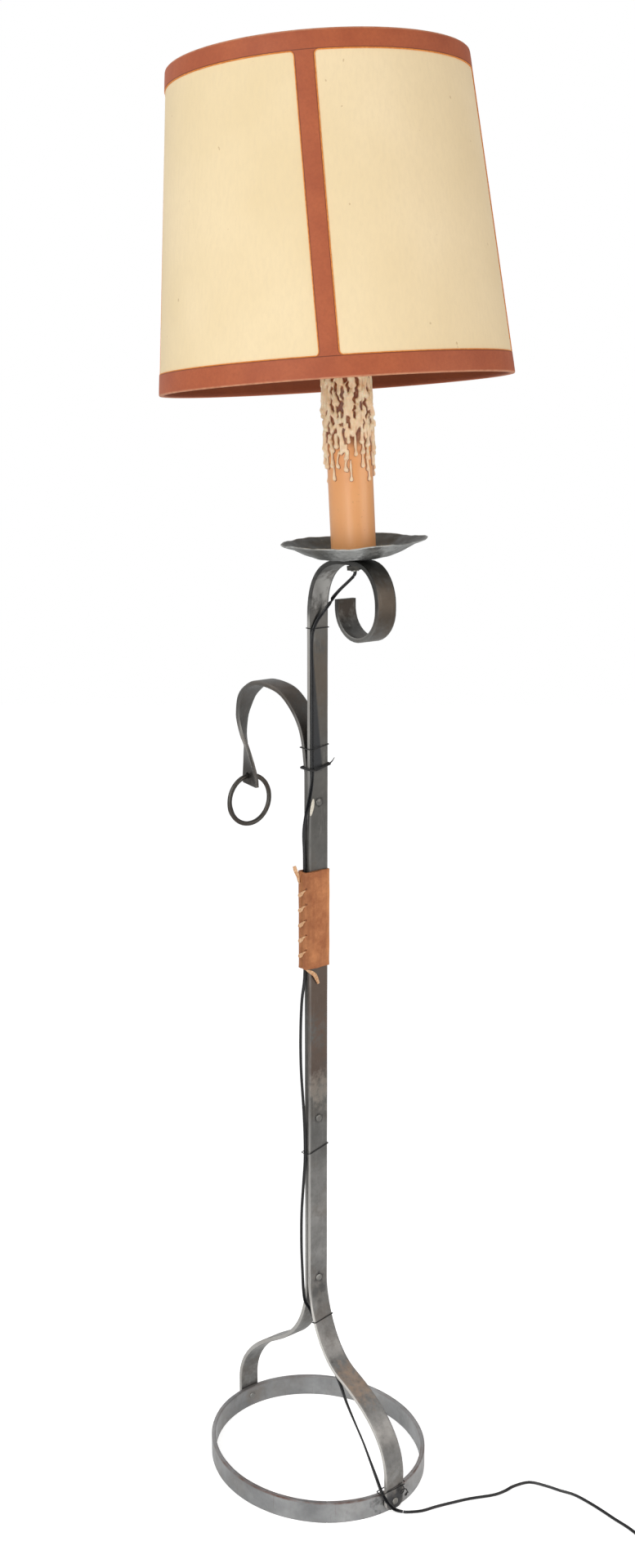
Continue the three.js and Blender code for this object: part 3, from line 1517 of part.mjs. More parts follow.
const hub_place = hub_height - shade_drop;
holder.add(
  piece("holder_cap", holder_cap(), black_plastic),
  piece("holder_shell", holder_shell(), black_plastic),
  piece("holder_insulator", holder_insulator(), porcelain),
  piece("screw_shell", screw_shell(), brass),
  piece("centre_contact", centre_contact(), brass),
  piece("bulb_cap", bulb_cap(), brass),
  piece("bulb_glass", bulb_glass(), glass),
  piece("ring_nut_lower", ring_nut(hub_place - seam_gap - ring_nut_height), black_plastic),
  piece("ring_nut_upper", ring_nut(hub_place + hub_thickness + seam_gap), black_plastic),
);

shade.add(
  piece("bottom_trim", bottom_trim(), trim_leather),
  piece("top_trim", shade_trim(top_trim_height, true), trim_leather),
  piece("shade_carrier", shade_carrier(), painted_wire),
  piece("top_wire", shade_wire(shade_height - wire_height), painted_wire),
);
for (let i = 0; i < strip_count; i += 1) {
  shade.add(
    piece(`shade_panel_${i + 1}`, shade_panel(i), parchment),
    piece(`shade_strip_${i + 1}`, shade_strip(i), trim_leather),
  );
}

lead.add(
  piece("free_cord", free_lead(lead_start, lead_second), black_cord),
  piece("cord_coil", cord_coil(), black_cord),
  piece("coil_tie", coil_tie(), black_plastic),
);
switch_frame.add(
  piece("switch_base", switch_base(), black_plastic),
  piece("switch_cover", switch_cover(), black_plastic),
  piece("switch_rocker", switch_rocker(), black_plastic),
  piece("switch_contacts", switch_contacts(), brass),
);
plug_frame.add(
  piece("plug_body", plug_body(), black_plastic),
  piece("plug_strain_relief", strain_relief(), black_plastic),
  piece("plug_pin_left", plug_pin(-1), brass),
  piece("plug_pin_right", plug_pin(1), brass),
);

// The origin is the middle of the lamp's own box, at floor level; the lead doesn't count
lamp.updateMatrixWorld(true);
const own_box = new THREE.Box3();
[ironwork, head].forEach((group) => own_box.expandByObject(group, true));
const middle = own_box.getCenter(at(0, 0, 0));
lamp.position.set(-middle.x, -middle.y, -own_box.min.z);
lamp.updateMatrixWorld(true);

const in_metres = (group, place) =>
  group.localToWorld(place).toArray().map((value) => (value / 1000).toFixed(5)).join(", ");
console.log("ring joint:", in_metres(ironwork, at(tip_line, 0, wire_line_z)));
console.log("shade joint:", in_metres(shade, at(0, 0, hub_height)), "to", in_metres(shade, at(0, 0, shade_height)));
console.log("rocker joint:", in_metres(switch_frame, at(0, 0, rocker_axle_height)));
console.log("lead exit:", in_metres(ironwork, at(...lead_exit, cord_floor)));
console.log("pole axis:", in_metres(lamp, at(0, 0, 0)));

export default lamp;
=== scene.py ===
# %% [markdown]
# # A wrought iron floor lamp
# The lamp is two flat iron bars riveted back to back. They part at the bottom into two legs on an
# oval ring, and at the top into a scroll that carries the light and a hook with a loose ring.
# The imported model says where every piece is, and which body it moves with. This script rebuilds
# each piece in the same place, with the fine shape of the real one.

# %% Load the frame
from math import atan2, ceil, cos, exp, pi, radians, sin, sqrt, tan

import bmesh
import bpy
import numpy as np
from mathutils import Matrix, Vector, noise


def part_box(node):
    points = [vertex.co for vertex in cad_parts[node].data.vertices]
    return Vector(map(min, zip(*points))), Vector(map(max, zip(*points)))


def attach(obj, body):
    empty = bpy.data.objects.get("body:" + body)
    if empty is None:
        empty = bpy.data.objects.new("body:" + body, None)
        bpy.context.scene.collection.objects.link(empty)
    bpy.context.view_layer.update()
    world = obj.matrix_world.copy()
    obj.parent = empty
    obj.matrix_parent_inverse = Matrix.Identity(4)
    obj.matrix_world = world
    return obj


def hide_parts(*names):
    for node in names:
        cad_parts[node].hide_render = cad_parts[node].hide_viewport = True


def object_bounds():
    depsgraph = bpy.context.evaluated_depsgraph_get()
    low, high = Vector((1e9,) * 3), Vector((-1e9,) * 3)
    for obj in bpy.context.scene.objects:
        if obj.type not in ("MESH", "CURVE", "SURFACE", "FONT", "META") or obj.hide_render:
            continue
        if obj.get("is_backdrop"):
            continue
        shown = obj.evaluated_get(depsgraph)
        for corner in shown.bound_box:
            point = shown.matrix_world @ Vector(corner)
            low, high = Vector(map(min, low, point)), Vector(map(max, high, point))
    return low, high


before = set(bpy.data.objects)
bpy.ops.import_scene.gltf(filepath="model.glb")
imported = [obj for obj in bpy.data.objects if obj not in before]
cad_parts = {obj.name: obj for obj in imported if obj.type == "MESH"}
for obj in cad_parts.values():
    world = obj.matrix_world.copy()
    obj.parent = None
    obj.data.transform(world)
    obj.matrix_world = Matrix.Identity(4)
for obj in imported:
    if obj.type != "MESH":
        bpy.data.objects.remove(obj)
cad_low, cad_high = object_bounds()

# %% [markdown]
# The lamp was measured in millimetres round its pole: x to the right, y away from the camera, z up.
# The foot ring is an oval round the pole, so the middle of its box gives the pole's place. The bars
# bend in one upright plane, turned 51 degrees: s runs along that plane and w across it.

# %% Places on the lamp
MM = 0.001
ring_low, ring_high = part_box("base_ring")
pole_foot = (ring_low + ring_high) / 2
BAR_TURN = radians(51)
COS_BAR, SIN_BAR = cos(BAR_TURN), sin(BAR_TURN)
BARS_OUT, ACROSS_BARS = Vector((COS_BAR, -SIN_BAR, 0)), Vector((SIN_BAR, COS_BAR, 0))
UP = Vector((0, 0, 1))


def by_pole(x, y, z):
    """A place measured from the foot of the pole, in millimetres, as the model's metres."""
    return Vector((x * MM + pole_foot.x, y * MM + pole_foot.y, z * MM))


def on_bars(s, w, z):
    """A place along (s) and across (w) the plane that the bars bend in."""
    return by_pole(COS_BAR * s + SIN_BAR * w, -SIN_BAR * s + COS_BAR * w, z)


def clip(value):
    return min(max(value, 0), 1)


def turns_of(count):
    return [2 * pi * i / count for i in range(count)]


print("pole stands at", [round(v, 4) for v in pole_foot])

# %% [markdown]
# The camera comes first. The photograph's perspective gives a lens of 39.3 mm on a frame 36 mm high,
# 2.17 m in front of the pole and 1.49 m up, looking 13 degrees down. No shift is needed.

# %% Camera
CAMERA_AWAY, CAMERA_UP, LOOKING_DOWN = 2172, 1485.5, 13
LENS, FRAME_HIGH = 39.28, 36


def placed(name, data, where=(0, 0, 0)):
    """A new object in the scene."""
    made = bpy.data.objects.new(name, data)
    bpy.context.scene.collection.objects.link(made)
    made.location = where
    return made


camera = placed("camera", bpy.data.cameras.new("camera"), by_pole(0, -CAMERA_AWAY, CAMERA_UP))
camera.rotation_euler = (radians(90 - LOOKING_DOWN), 0, 0)
camera.data.sensor_fit, camera.data.sensor_height, camera.data.lens = "VERTICAL", FRAME_HIGH, LENS
bpy.context.scene.camera = camera
bpy.context.scene.view_settings.view_transform = "Standard"
print("camera at", [round(v, 3) for v in camera.location])

# %% [markdown]
# Three things lean on their own: the drip dish with its candle, the threaded rod inside it, and the
# lamp holder with the shade. Each gets a little frame of its own: its pieces are made upright there
# and come out as they lean. The leans are degrees to the left and to the back.

# %% Leaning frames
SEAT_TOP, ROD_PLACE, ROD_LENGTH, SHADE_DROP = 1281, 71.5, 217.2, 7.3
ROD_LEAN, HOLDER_LEAN, DISH_LEAN = (5.92, 0.23), (3.7, 2), (2.8, 0.5)


def leaning(origin, left, back):
    """A place-maker for pieces that lean to the left and to the back by some degrees."""
    turn = Matrix.Rotation(radians(-back), 3, "X") @ Matrix.Rotation(radians(-left), 3, "Y")
    return lambda x, y, z: Vector(origin) + turn @ Vector((x, y, z))


def in_frame(lean, drop=0):
    return lambda x, y, z: by_pole(*lean(x, y, z - drop))


seat = (COS_BAR * ROD_PLACE, -SIN_BAR * ROD_PLACE, SEAT_TOP)
rod_lean = leaning(seat, *ROD_LEAN)
holder_lean = leaning(rod_lean(0, 0, ROD_LENGTH), *HOLDER_LEAN)
in_dish, in_rod = in_frame(leaning(seat, *DISH_LEAN)), in_frame(rod_lean)
in_holder, in_shade = in_frame(holder_lean), in_frame(holder_lean, SHADE_DROP)
print("shade's lower middle at", [round(v, 3) for v in in_shade(0, 0, 0)])

# %% [markdown]
# Nearly everything here is a skin over rings of points: a bar is a section carried along a line, a
# lathe piece is a profile carried round an axis. Sharp edges are kept where faces meet at more than
# 35 degrees. Most pieces ride on the lamp's frame. Marks are numbers on the points, such as how
# rubbed they are, which the finishes read.

# %% Making and dressing a mesh
SHARP = radians(35)


def closed_mesh(name, verts, faces):
    mesh = bpy.data.meshes.new(name)
    mesh.from_pydata([tuple(v) for v in verts], [], faces)
    work = bmesh.new()
    work.from_mesh(mesh)
    bmesh.ops.remove_doubles(work, verts=work.verts, dist=1e-7)
    bmesh.ops.recalc_face_normals(work, faces=work.faces)
    work.to_mesh(mesh)
    work.free()
    return mesh


def mesh_piece(name, verts, faces, finish, replaces="", body="lamp_frame", sharp=SHARP):
    mesh = closed_mesh(name, verts, faces)
    mesh.shade_smooth()
    mesh.set_sharp_from_angle(angle=sharp)
    mesh.materials.append(finish)
    piece = placed(name, mesh)
    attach(piece, body)
    if replaces:
        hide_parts(*replaces.split())
    return piece


def ring_faces(count, sides, closed):
    """Quads between rings of points, with a flat face over each end unless the rings close."""
    faces = []
    for i in range(count if closed else count - 1):
        a, b = i * sides, ((i + 1) % count) * sides
        for j in range(sides):
            k = (j + 1) % sides
            faces.append((a + j, a + k, b + k, b + j))
    if not closed:
        last = (count - 1) * sides
        faces += [tuple(range(sides)), tuple(range(last, last + sides))]
    return faces


def skin(name, rings, finish, replaces="", body="lamp_frame", closed=False, sharp=SHARP):
    faces = ring_faces(len(rings), len(rings[0]), closed)
    return mesh_piece(name, [v for ring in rings for v in ring], faces, finish, replaces, body, sharp)


def mark_points(piece, name, values):
    """Writes marks on a piece's points; the marks of one ring are repeated for all its rings."""
    layer = piece.data.attributes.new(name, "FLOAT", "POINT")
    layer.data.foreach_set("value", values * (len(piece.data.vertices) // len(values)))


# %% [markdown]
# Colours are written as they look, from 0 to 255, and turned into the linear values that a shader
# wants. A finish starts as a soft mottle of two colours. Further colours are painted over it, where
# a grain or a mark says, and fine reliefs come last.

# %% Colour and finish helpers
def linear(red, green, blue):
    return (*(v / 255 / 12.92 if v / 255 <= 0.04045 else ((v / 255 + 0.055) / 1.055) ** 2.4
              for v in (red, green, blue)), 1)


def add_node(tree, kind, inputs, out=0, **settings):
    """A new node's output; each input is a plain value or another node's output."""
    made = tree.nodes.new("ShaderNode" + kind)
    for name, value in settings.items():
        setattr(made, name, value)
    for socket, value in inputs.items():
        if isinstance(value, bpy.types.NodeSocket):
            tree.links.new(value, made.inputs[socket])
        else:
            made.inputs[socket].default_value = value
    return made.outputs[out]


def ramp(tree, value, low, high, start=0.0, end=1.0):
    """A value stretched so that low becomes start and high becomes end."""
    ends = {"From Min": low, "From Max": high, "To Min": start, "To Max": end}
    return add_node(tree, "MapRange", {"Value": value, **ends})


class Finish:
    """A material under construction. A grain is (scale, detail, roughness, stretch)."""

    def __init__(self, name, slot, roughness, metallic=0.0, **values):
        self.material = bpy.data.materials.new(name)
        self.material.use_nodes = True
        self.tree = self.material.node_tree
        self.inputs = self.tree.nodes["Principled BSDF"].inputs
        for socket, value in {"Roughness": roughness, "Metallic": metallic, **values}.items():
            self.inputs[socket.replace("_", " ")].default_value = value
        self.where = self.add("TexCoord", {}, "Object")

    def add(self, *node, **settings):
        return add_node(self.tree, *node, **settings)

    def grain(self, scale, detail=4, rough=0.6, stretch=(1, 1, 1)):
        """A noise between 0 and 1; its features are about 1/scale metres across."""
        spread = self.add("Mapping", {"Vector": self.where, "Scale": stretch})
        return self.add("TexNoise", {"Vector": spread, "Scale": scale, "Detail": detail, "Roughness": rough})

    def math(self, kind, first, second):
        return self.add("Math", {0: first, 1: second}, operation=kind)

    def measured(self, kind, vector):
        """DISTANCE to a place, or DOT_PRODUCT with a direction, in metres."""
        return self.add("VectorMath", {0: self.where, 1: tuple(vector)}, "Value", operation=kind)

    def share(self, grain=None, ends=None, mark=None):
        """How far a colour covers: a grain between the ends of a ramp, a mark, or their product."""
        marked = self.add("Attribute", {}, "Fac", attribute_name=mark) if mark else None
        if not grain:
            return ramp(self.tree, marked, *ends) if ends else marked
        cut = ramp(self.tree, self.grain(*grain), *ends)
        return self.math("MULTIPLY", marked, cut) if mark else cut

    def mixed(self, share, *colours):
        """A mix of two; each is a written colour or another node's output."""
        first, second = (linear(*c) if isinstance(c, tuple) else c for c in colours)
        return self.add("Mix", {0: share, 6: first, 7: second}, 2, data_type="RGBA")

    def start(self, first, second, grain, ends=(0.35, 0.65)):
        self.base = self.mixed(self.share(grain, ends), first, second)

    def paint(self, colour, *share, **more):
        self.base = self.mixed(self.share(*share, **more), self.base, colour)

    def spot(self, place, radius, colour, strength=1.0):
        """Paints a spot with a ragged outline that fades to nothing at a radius in mm."""
        reach = radius * MM
        ragged = self.share((120, 4), (0.3, 0.7, -0.4 * reach, 0.4 * reach))
        away = self.math("ADD", self.measured("DISTANCE", place), ragged)
        self.base = self.mixed(ramp(self.tree, away, reach, 0.35 * reach, 0, strength), self.base, colour)

    def done(self, *reliefs, rough=None):
        """Joins up the shader; a relief is (grain, depth in metres, strength)."""
        self.tree.links.new(self.base, self.inputs["Base Color"])
        if rough:
            self.tree.links.new(self.share(*rough), self.inputs["Roughness"])
        before = {}
        for grain, depth, *strength in reliefs:
            sizes = {"Distance": depth, "Strength": strength[0] if strength else 1.0}
            before = {"Normal": self.add("Bump", {"Height": self.grain(*grain), **sizes, **before})}
        for normal in before.values():
            self.tree.links.new(normal, self.inputs["Normal"])
        return self.material


def two_tone(name, slot, roughness, first, second, grain, ends, *reliefs, rough=None, **values):
    made = Finish(name, slot, roughness, **values)
    made.start(first, second, grain, ends)
    return made.done(*reliefs, rough=rough)


print("a grey that looks half bright is", round(linear(128, 128, 128)[0], 3), "in linear light")

# %% [markdown]
# The iron was blackened and waxed, so it is a dark satin grey with brown shadows, and its edges are
# rubbed bright. It gets greyer and brighter towards the floor. The forging shows as a slow ripple,
# and the scale as fine pits. A band keeps a colour within limits, each a direction and a ramp's ends.

# %% Blackened iron
LIT, BAND_GREY = (232, 229, 224), (62, 64, 67)
LOWER_FROM, LOWER_FULL = 0.57, 0.34


def dimmed(colour, share):
    return tuple(v * share for v in colour)


def iron_finish(name, dark, mid, brown, rubbed, spots=(), stains=0.6, band=(), wear=0.45, low=None,
                slot="iron"):
    """Colours as they look by themselves; in the room they reflect its light and dark sides."""
    made = Finish(name, slot, 0.42, 0.9)
    patches = made.share((9, 5), (0.35, 0.65))
    made.base = made.mixed(patches, dark, mid)
    if low:
        height = made.add("SeparateXYZ", {0: made.where}, "Z")
        lower = made.mixed(patches, dimmed(low, 0.8), low)
        made.base = made.mixed(ramp(made.tree, height, LOWER_FROM, LOWER_FULL), made.base, lower)
    made.paint(brown, (15, 4, 0.65), (0.5, 0.7, 0, stains))
    made.paint(dimmed(mid, 0.74), (34, 5, 0.65), (0.45, 0.72, 0, 0.4))
    made.paint(dimmed(mid, 0.78), (130, 5, 0.75), (0.46, 0.66, 0, 0.3))
    made.paint(rubbed, (30, 5, 0.7, (9, 9, 0.7)), (0.58, 0.74, 0, 0.3))
    for spot in spots:
        made.spot(*spot)
    share = None
    for line, *ends in band:
        inside = ramp(made.tree, made.measured("DOT_PRODUCT", line), *ends)
        share = made.math("MULTIPLY", share, inside) if share else inside
    if share:
        made.base = made.mixed(share, made.base, BAND_GREY)
    made.paint(rubbed, (40, 4), (0.35, 0.65, 0.1, wear), "edge")
    made.paint(LIT, mark="lit")
    made.paint(dimmed(dark, 0.6), mark="shadow")
    satin = ((60, 4), (0.3, 0.7, 0.34, 0.52))
    return made.done(((24, 3), 0.0006, 0.5), ((420, 4, 0.7), 0.0001, 0.5), rough=satin)


def spots_on(*rows):
    """Spots on the bars from rows of s, w, z, radius, colour, strength."""
    return [(on_bars(s, w, z), *look) for s, w, z, *look in rows]


# %% [markdown]
# The pole has painted shade, partly grime, round its rivets, brown stains, pale smudges and dark marks
# on the leg and the scroll, and a painted highlight on the scroll's left shoulder. A dark grey strip
# runs down the upper pole, right of the cable.

# %% The bars' iron
GRIME_AND_SHADE, FOOT_GREY = (44, 43, 42), (78, 78, 80)
POLE_RIVETS = (278.9, 517.5, 960.6)
POLE_SPOTS = spots_on(
    # painted shade, partly grime, rings each rivet head
    *((3, 0, z, reach, GRIME_AND_SHADE, 0.75) for z, reach in zip(POLE_RIVETS, (9.5, 8.5, 8))),
    (3, 8, 700, 90, (110, 88, 74), 0.6), (3, -6, 600, 60, (108, 86, 74), 0.5),
    (4, 4, 263, 10, (88, 88, 87), 0.8), (4, -6, 258, 11, (96, 96, 95), 0.7),
    (5, -2, 244, 6, (100, 99, 97), 0.6),
    (42, -11, 168, 9, (74, 70, 66), 0.9), (74, 0, 136, 42, (178, 153, 132), 0.75),
    (95, 7, 110, 13, (66, 56, 48), 0.95), (86, -2, 118, 14, (150, 144, 104), 0.7),
    (52, 8, 156, 9, (98, 78, 66), 0.85), (118, 0, 78, 26, (176, 160, 140), 0.4),
    (4, 4, 560, 30, (168, 160, 150), 0.5), (168, 0, 12, 23, (84, 84, 86), 0.9),
    (168, -10, 24, 14, FOOT_GREY, 0.8), (168, 10, 22, 14, FOOT_GREY, 0.8),
    (58, 0, 1226, 34, (54, 48, 43), 0.9), (131, 0, 1232, 52, (84, 74, 64), 0.75),
    (100, 0, 1190, 18, (88, 78, 66), 0.6), (3, 8, 1120, 60, (98, 88, 76), 0.5),
    # a painted highlight on the scroll's left shoulder
    (10, -3, 1240, 32, (186, 185, 182), 0.7),
)
# a dark grey strip down the upper pole, right of the cable, from 1.0 to 1.19 m up
BAND_LINE = ACROSS_BARS + Vector((0, 0, 0.1))
band_edge = on_bars(3, 4.6, 1016).dot(BAND_LINE)
band_side = on_bars(3, -11.5, 1008).dot(ACROSS_BARS)
BAND = [(BAND_LINE, band_edge + 0.001, band_edge - 0.0015, 0, 0.9),
        (ACROSS_BARS, band_side, band_side + 0.002), (UP, 1.19, 1.18), (UP, 1.0, 1.008)]
POLE_IRON = iron_finish("pole_iron", (88, 88, 86), (114, 113, 110), (104, 92, 80), (176, 175, 172),
                        POLE_SPOTS, band=BAND, wear=0.3, low=(160, 159, 157))
HOOK_SPOTS = spots_on((-148, 0, 976, 32, (60, 56, 53), 0.85), (-70, 0, 1100, 40, (88, 76, 66), 0.5))
IRON = iron_finish("blackened_iron", (80, 79, 77), (106, 104, 101), (98, 84, 72), (160, 158, 155), HOOK_SPOTS,
                   wear=0.22, low=(156, 156, 154))
print("made", POLE_IRON.name, "and", IRON.name)

# %% [markdown]
# A bar's section is 30 by 6 mm with eased edges. Its points carry an edge mark, 1 along the corners
# and 0 on the flats. The forging ripple moves each point by a quarter of a millimetre, taken from a
# fixed noise, so that every run is the same. Cords and straps are flat sections carried along a line
# too, and wires are round ones.

# %% Carrying a section along a line
CORNERS = ((1, 1, 0), (-1, 1, 90), (-1, -1, 180), (1, -1, 270))
BAR_HALF, BAR_HIGH, EASE = 15, 3, 0.9
SECTION = []
for side_x, side_y, first in CORNERS:
    for turn in (first, first + 45, first + 90):
        SECTION.append((side_x * (BAR_HALF - EASE) + EASE * cos(radians(turn)),
                        side_y * (BAR_HIGH - EASE) + EASE * sin(radians(turn)), 1.0))
    if side_x == side_y:
        flats = (0.82, 0.4, 0, -0.4, -0.82)
        SECTION += [(side_x * share * BAR_HALF, side_y * BAR_HIGH, 0.0) for share in flats]
    else:
        SECTION.append((side_x * BAR_HALF, 0, 0.3))
EDGES = [mark for _, _, mark in SECTION]


def run_at(places, i, closed=False):
    """The direction of a line at one of its places."""
    after = places[(i + 1) % len(places) if closed else min(i + 1, len(places) - 1)]
    return (after - places[i - 1 if closed else max(i - 1, 0)]).normalized()


def carried(stations, closed=False, ripple=0.22):
    """Rings of the bar's section; a station is (place, direction across, width share)."""
    places = [place for place, _, _ in stations]
    rings = []
    for i, (place, across, share) in enumerate(stations):
        along = run_at(places, i, closed)
        side = (across - along * across.dot(along)).normalized()
        facing = along.cross(side)
        ring = []
        for x, y, _ in SECTION:
            point = place + (side * x * share + facing * y) * MM
            push = noise.noise(point * 26) * ripple + noise.noise(point * 90) * ripple * 0.35
            ring.append(point + facing * push * MM * (1 if y > 0 else -1))
        rings.append(ring)
    return rings


def swept(places, looks, sections):
    """Rings of a flat section; each look is the way that its flat side faces."""
    rings = []
    for i, place in enumerate(places):
        along = run_at(places, i)
        side = along.cross(looks[i]).normalized()
        facing = side.cross(along).normalized()
        rings.append([place + (side * x + facing * y) * MM for x, y in sections[i]])
    return rings


def tube_rings(places, radius, sides=8, closed=False):
    """Rings of a round wire; the radius is one number or one for every place."""
    rings, side = [], None
    for i, place in enumerate(places):
        along = run_at(places, i, closed)
        side = along.orthogonal() if side is None else side - along * side.dot(along)
        side.normalize()
        facing = along.cross(side)
        size = radius[i] if isinstance(radius, list) else radius
        rings.append([place + (side * cos(a) + facing * sin(a)) * size * MM for a in turns_of(sides)])
    return rings


def wire(name, places, radius, finish, replaces="", body="lamp_frame", sides=8, closed=False):
    return skin(name, tube_rings(places, radius, sides, closed), finish, replaces, body, closed)


print("a bar's section has", len(SECTION), "points")

# %% [markdown]
# The lines that the bars follow are drawn as a smith would: straights, parts of circles, and free
# curves pulled by two handles. They are then stepped off evenly, one station every few millimetres.

# %% Lines
def curve_of(p0, p1, p2, p3):
    t = np.linspace(0, 1, 24)[:, None]
    p0, p1, p2, p3 = map(np.array, (p0, p1, p2, p3))
    return list((1 - t) ** 3 * p0 + 3 * (1 - t) ** 2 * t * p1 + 3 * (1 - t) * t**2 * p2 + t**3 * p3)


def oval_part(centre, radii, start, end, count=24):
    turns = np.radians(np.linspace(start, end, count))
    across, up = centre[0] + radii[0] * np.cos(turns), centre[1] + radii[1] * np.sin(turns)
    return list(np.stack([across, up], axis=1))


def stepped(points, step):
    """The same line with evenly spaced points, about a step apart."""
    apart = [b for a, b in zip(points, points[1:]) if np.linalg.norm(np.subtract(a, b)) > 1e-6]
    line = np.array([points[0]] + apart)
    run = np.concatenate(([0], np.cumsum(np.linalg.norm(np.diff(line, axis=0), axis=1))))
    marks = np.linspace(0, run[-1], max(2, round(run[-1] / step)) + 1)
    return np.stack([np.interp(marks, run, line[:, k]) for k in range(line.shape[1])], axis=1)


def through(points, per_span=6, evenness=0.5):
    """A smooth line through points; evenness 0.5 keeps it from swinging wide at close points."""
    known = [np.array(p, float) for p in points]
    known = [2 * known[0] - known[1]] + known + [2 * known[-1] - known[-2]]
    line = []
    for i in range(1, len(known) - 2):
        p0, p1, p2, p3 = known[i - 1 : i + 3]
        d0, d1, d2 = (max(np.linalg.norm(b - a), 1e-6) ** evenness for a, b in ((p0, p1), (p1, p2), (p2, p3)))
        m1 = ((p1 - p0) / d0 - (p2 - p0) / (d0 + d1) + (p2 - p1) / d1) * d1
        m2 = ((p2 - p1) / d1 - (p3 - p1) / (d1 + d2) + (p3 - p2) / d2) * d1
        for t in np.arange(per_span) / per_span:
            line.append((2 * t**3 - 3 * t**2 + 1) * p1 + (t**3 - 2 * t**2 + t) * m1
                        + (3 * t**2 - 2 * t**3) * p2 + (t**3 - t**2) * m2)
    return line + [known[-2]]


def smooth(points, per_span):
    return [Vector(p) for p in through(points, per_span)]


def length_of(places):
    return sum((b - a).length for a, b in zip(places, places[1:]))


# %% [markdown]
# The front bar starts at the cut end of the scroll, curls under and over, lies flat under the drip
# dish, turns down into the pole, and swings out at the bottom into the front leg. Its foot has
# rounded corners. The shares place each curve's handles, as in the part's own source.

# %% The front bar's line
CROWN_RISE, CURL_DROP = 49, 7
CROWN = SEAT_TOP - BAR_HIGH - CROWN_RISE
CURL = CROWN - CURL_DROP
LEG_TOP, LEG_REACH, FOOT_Z, FOOT_CORNER, BAR_STEP = 270, 163.95, 15, 10, 6.5
FRONT_LEG = ((0, 1), (0.024, 0.822), (0.171, 0.637), (0.378, 0.587), (0.561, 0.544), (0.976, 0.452),
             (1, 0.204))


def leg_curve(shares, start, reach):
    leg = [(start + x * reach, y * LEG_TOP) for x, y in shares]
    return curve_of(*leg[:4]) + curve_of(*leg[3:]) + [(start + reach, FOOT_Z)]


def front_line():
    line = [(55, CURL + 9), (55, CURL)] + oval_part((93, CURL), (38, 38), 180, 360, 36)
    line += oval_part((88, CROWN), (43, CROWN_RISE), 0, 90)
    line += curve_of((66, 1278), (30, 1278), (0, 1262), (0, 1205))
    return stepped(line + leg_curve(FRONT_LEG, 0, LEG_REACH), BAR_STEP)


def on_line(points):
    return [(on_bars(s, 0, z), ACROSS_BARS, 1.0) for s, z in points]


def foot_end(s):
    """The last stations of a foot, narrowing round its two corners."""
    turns = [radians(15 * step) for step in range(1, 7)]
    return [(on_bars(s, 0, FOOT_Z - FOOT_CORNER * sin(a)), ACROSS_BARS,
             (BAR_HALF - FOOT_CORNER + FOOT_CORNER * cos(a)) / BAR_HALF) for a in turns]


front = on_line(front_line()) + foot_end(LEG_REACH)
print("front bar:", len(front), "stations")

# %% [markdown]
# Two holes are cut after the sweep: one through the seat for the threaded rod, and one through the
# tip of the hook for the loose ring. The exact boolean keeps the marks on the points.

# %% Cutting holes
def drilled(piece, holes):
    """Cuts round holes, each (start, end, radius in mm), and keeps the result as the mesh."""
    for start, end, radius in holes:
        verts = sum(tube_rings([start, end], radius, 24), [])
        drill = placed("drill", closed_mesh("drill", verts, ring_faces(2, 24, False)))
        cut = piece.modifiers.new("hole", "BOOLEAN")
        cut.operation, cut.solver, cut.object = "DIFFERENCE", "EXACT", drill
        bpy.context.view_layer.update()
        result = bpy.data.meshes.new_from_object(piece.evaluated_get(bpy.context.evaluated_depsgraph_get()))
        piece.modifiers.clear()
        old, piece.data = piece.data, result
        result.name = piece.name
        bpy.data.objects.remove(drill)
        bpy.data.meshes.remove(old)
        piece.data.shade_smooth()
        piece.data.set_sharp_from_angle(angle=SHARP)
    print(piece.name, len(piece.data.vertices), "points")


# %% The front bar
LIT_HEIGHTS = (0.34, 0.52, 0.68, 0.95, 1.05, 1.2, 1.21)


def left_side(stations, high, low):
    """Lit marks on the side face that looks left: low near the floor, none halfway, high above 1 m."""
    marks = []
    for place, _, _ in stations:
        strength = np.interp(place.z, LIT_HEIGHTS, (low, low / 4, 0, 0, high, high, 0))
        beside_pole = place.z < 0.4 or (place - on_bars(0, 0, place.z / MM)).length < 0.03
        marks += [float(strength) * (x < -14.9) * beside_pole for x, _, _ in SECTION]
    return marks


pole_bar = skin("forged_pole_bar", carried(front), POLE_IRON, "pole_bar")
mark_points(pole_bar, "edge", EDGES)
mark_points(pole_bar, "shadow", [0.85 * (mark > 0.2) * clip((place.z / MM - 1200) / 30)
                                 for place, _, _ in front for mark in EDGES])
mark_points(pole_bar, "lit", left_side(front, 0.35, 0.85))
drilled(pole_bar, [(on_bars(ROD_PLACE, 0, SEAT_TOP + 4), on_bars(ROD_PLACE, 0, SEAT_TOP - 10), 5.9)])

# %% [markdown]
# The back bar lies behind the front one. At the bottom it is the back leg. At the top it leaves the
# pole, arches over, and twists a quarter turn as it comes down, so that its tip faces the camera.
# The direction across the bar turns with the twist.

# %% The back bar's line
BACK_LINE = -6.3
HOOK_TOP, HOOK_DROP, HOOK_REACH = 1104.5, 147.5, 156.7
HOOK_LOW = HOOK_TOP - HOOK_DROP
STRAIGHT = (276, 995, 8)
TWIST_FROM, TWIST_TO = 0.9, 0.054
HOOK = (
    (0, 0.291), (0.046, 0.576), (0.119, 0.746), (0.25, 0.888), (0.394, 0.97), (0.598, 1), (0.757, 0.976),
    (0.917, 0.854), (0.987, 0.685), (1, 0.583), (0.984, 0.447), (0.951, 0.359), (0.92, 0.224),
    (0.904, 0.136), (0.885, 0),
)
BACK_LEG = ((0, 0.993), (0.011, 0.822), (0.131, 0.689), (0.353, 0.602), (0.544, 0.526), (0.962, 0.407),
            (1, 0.193))


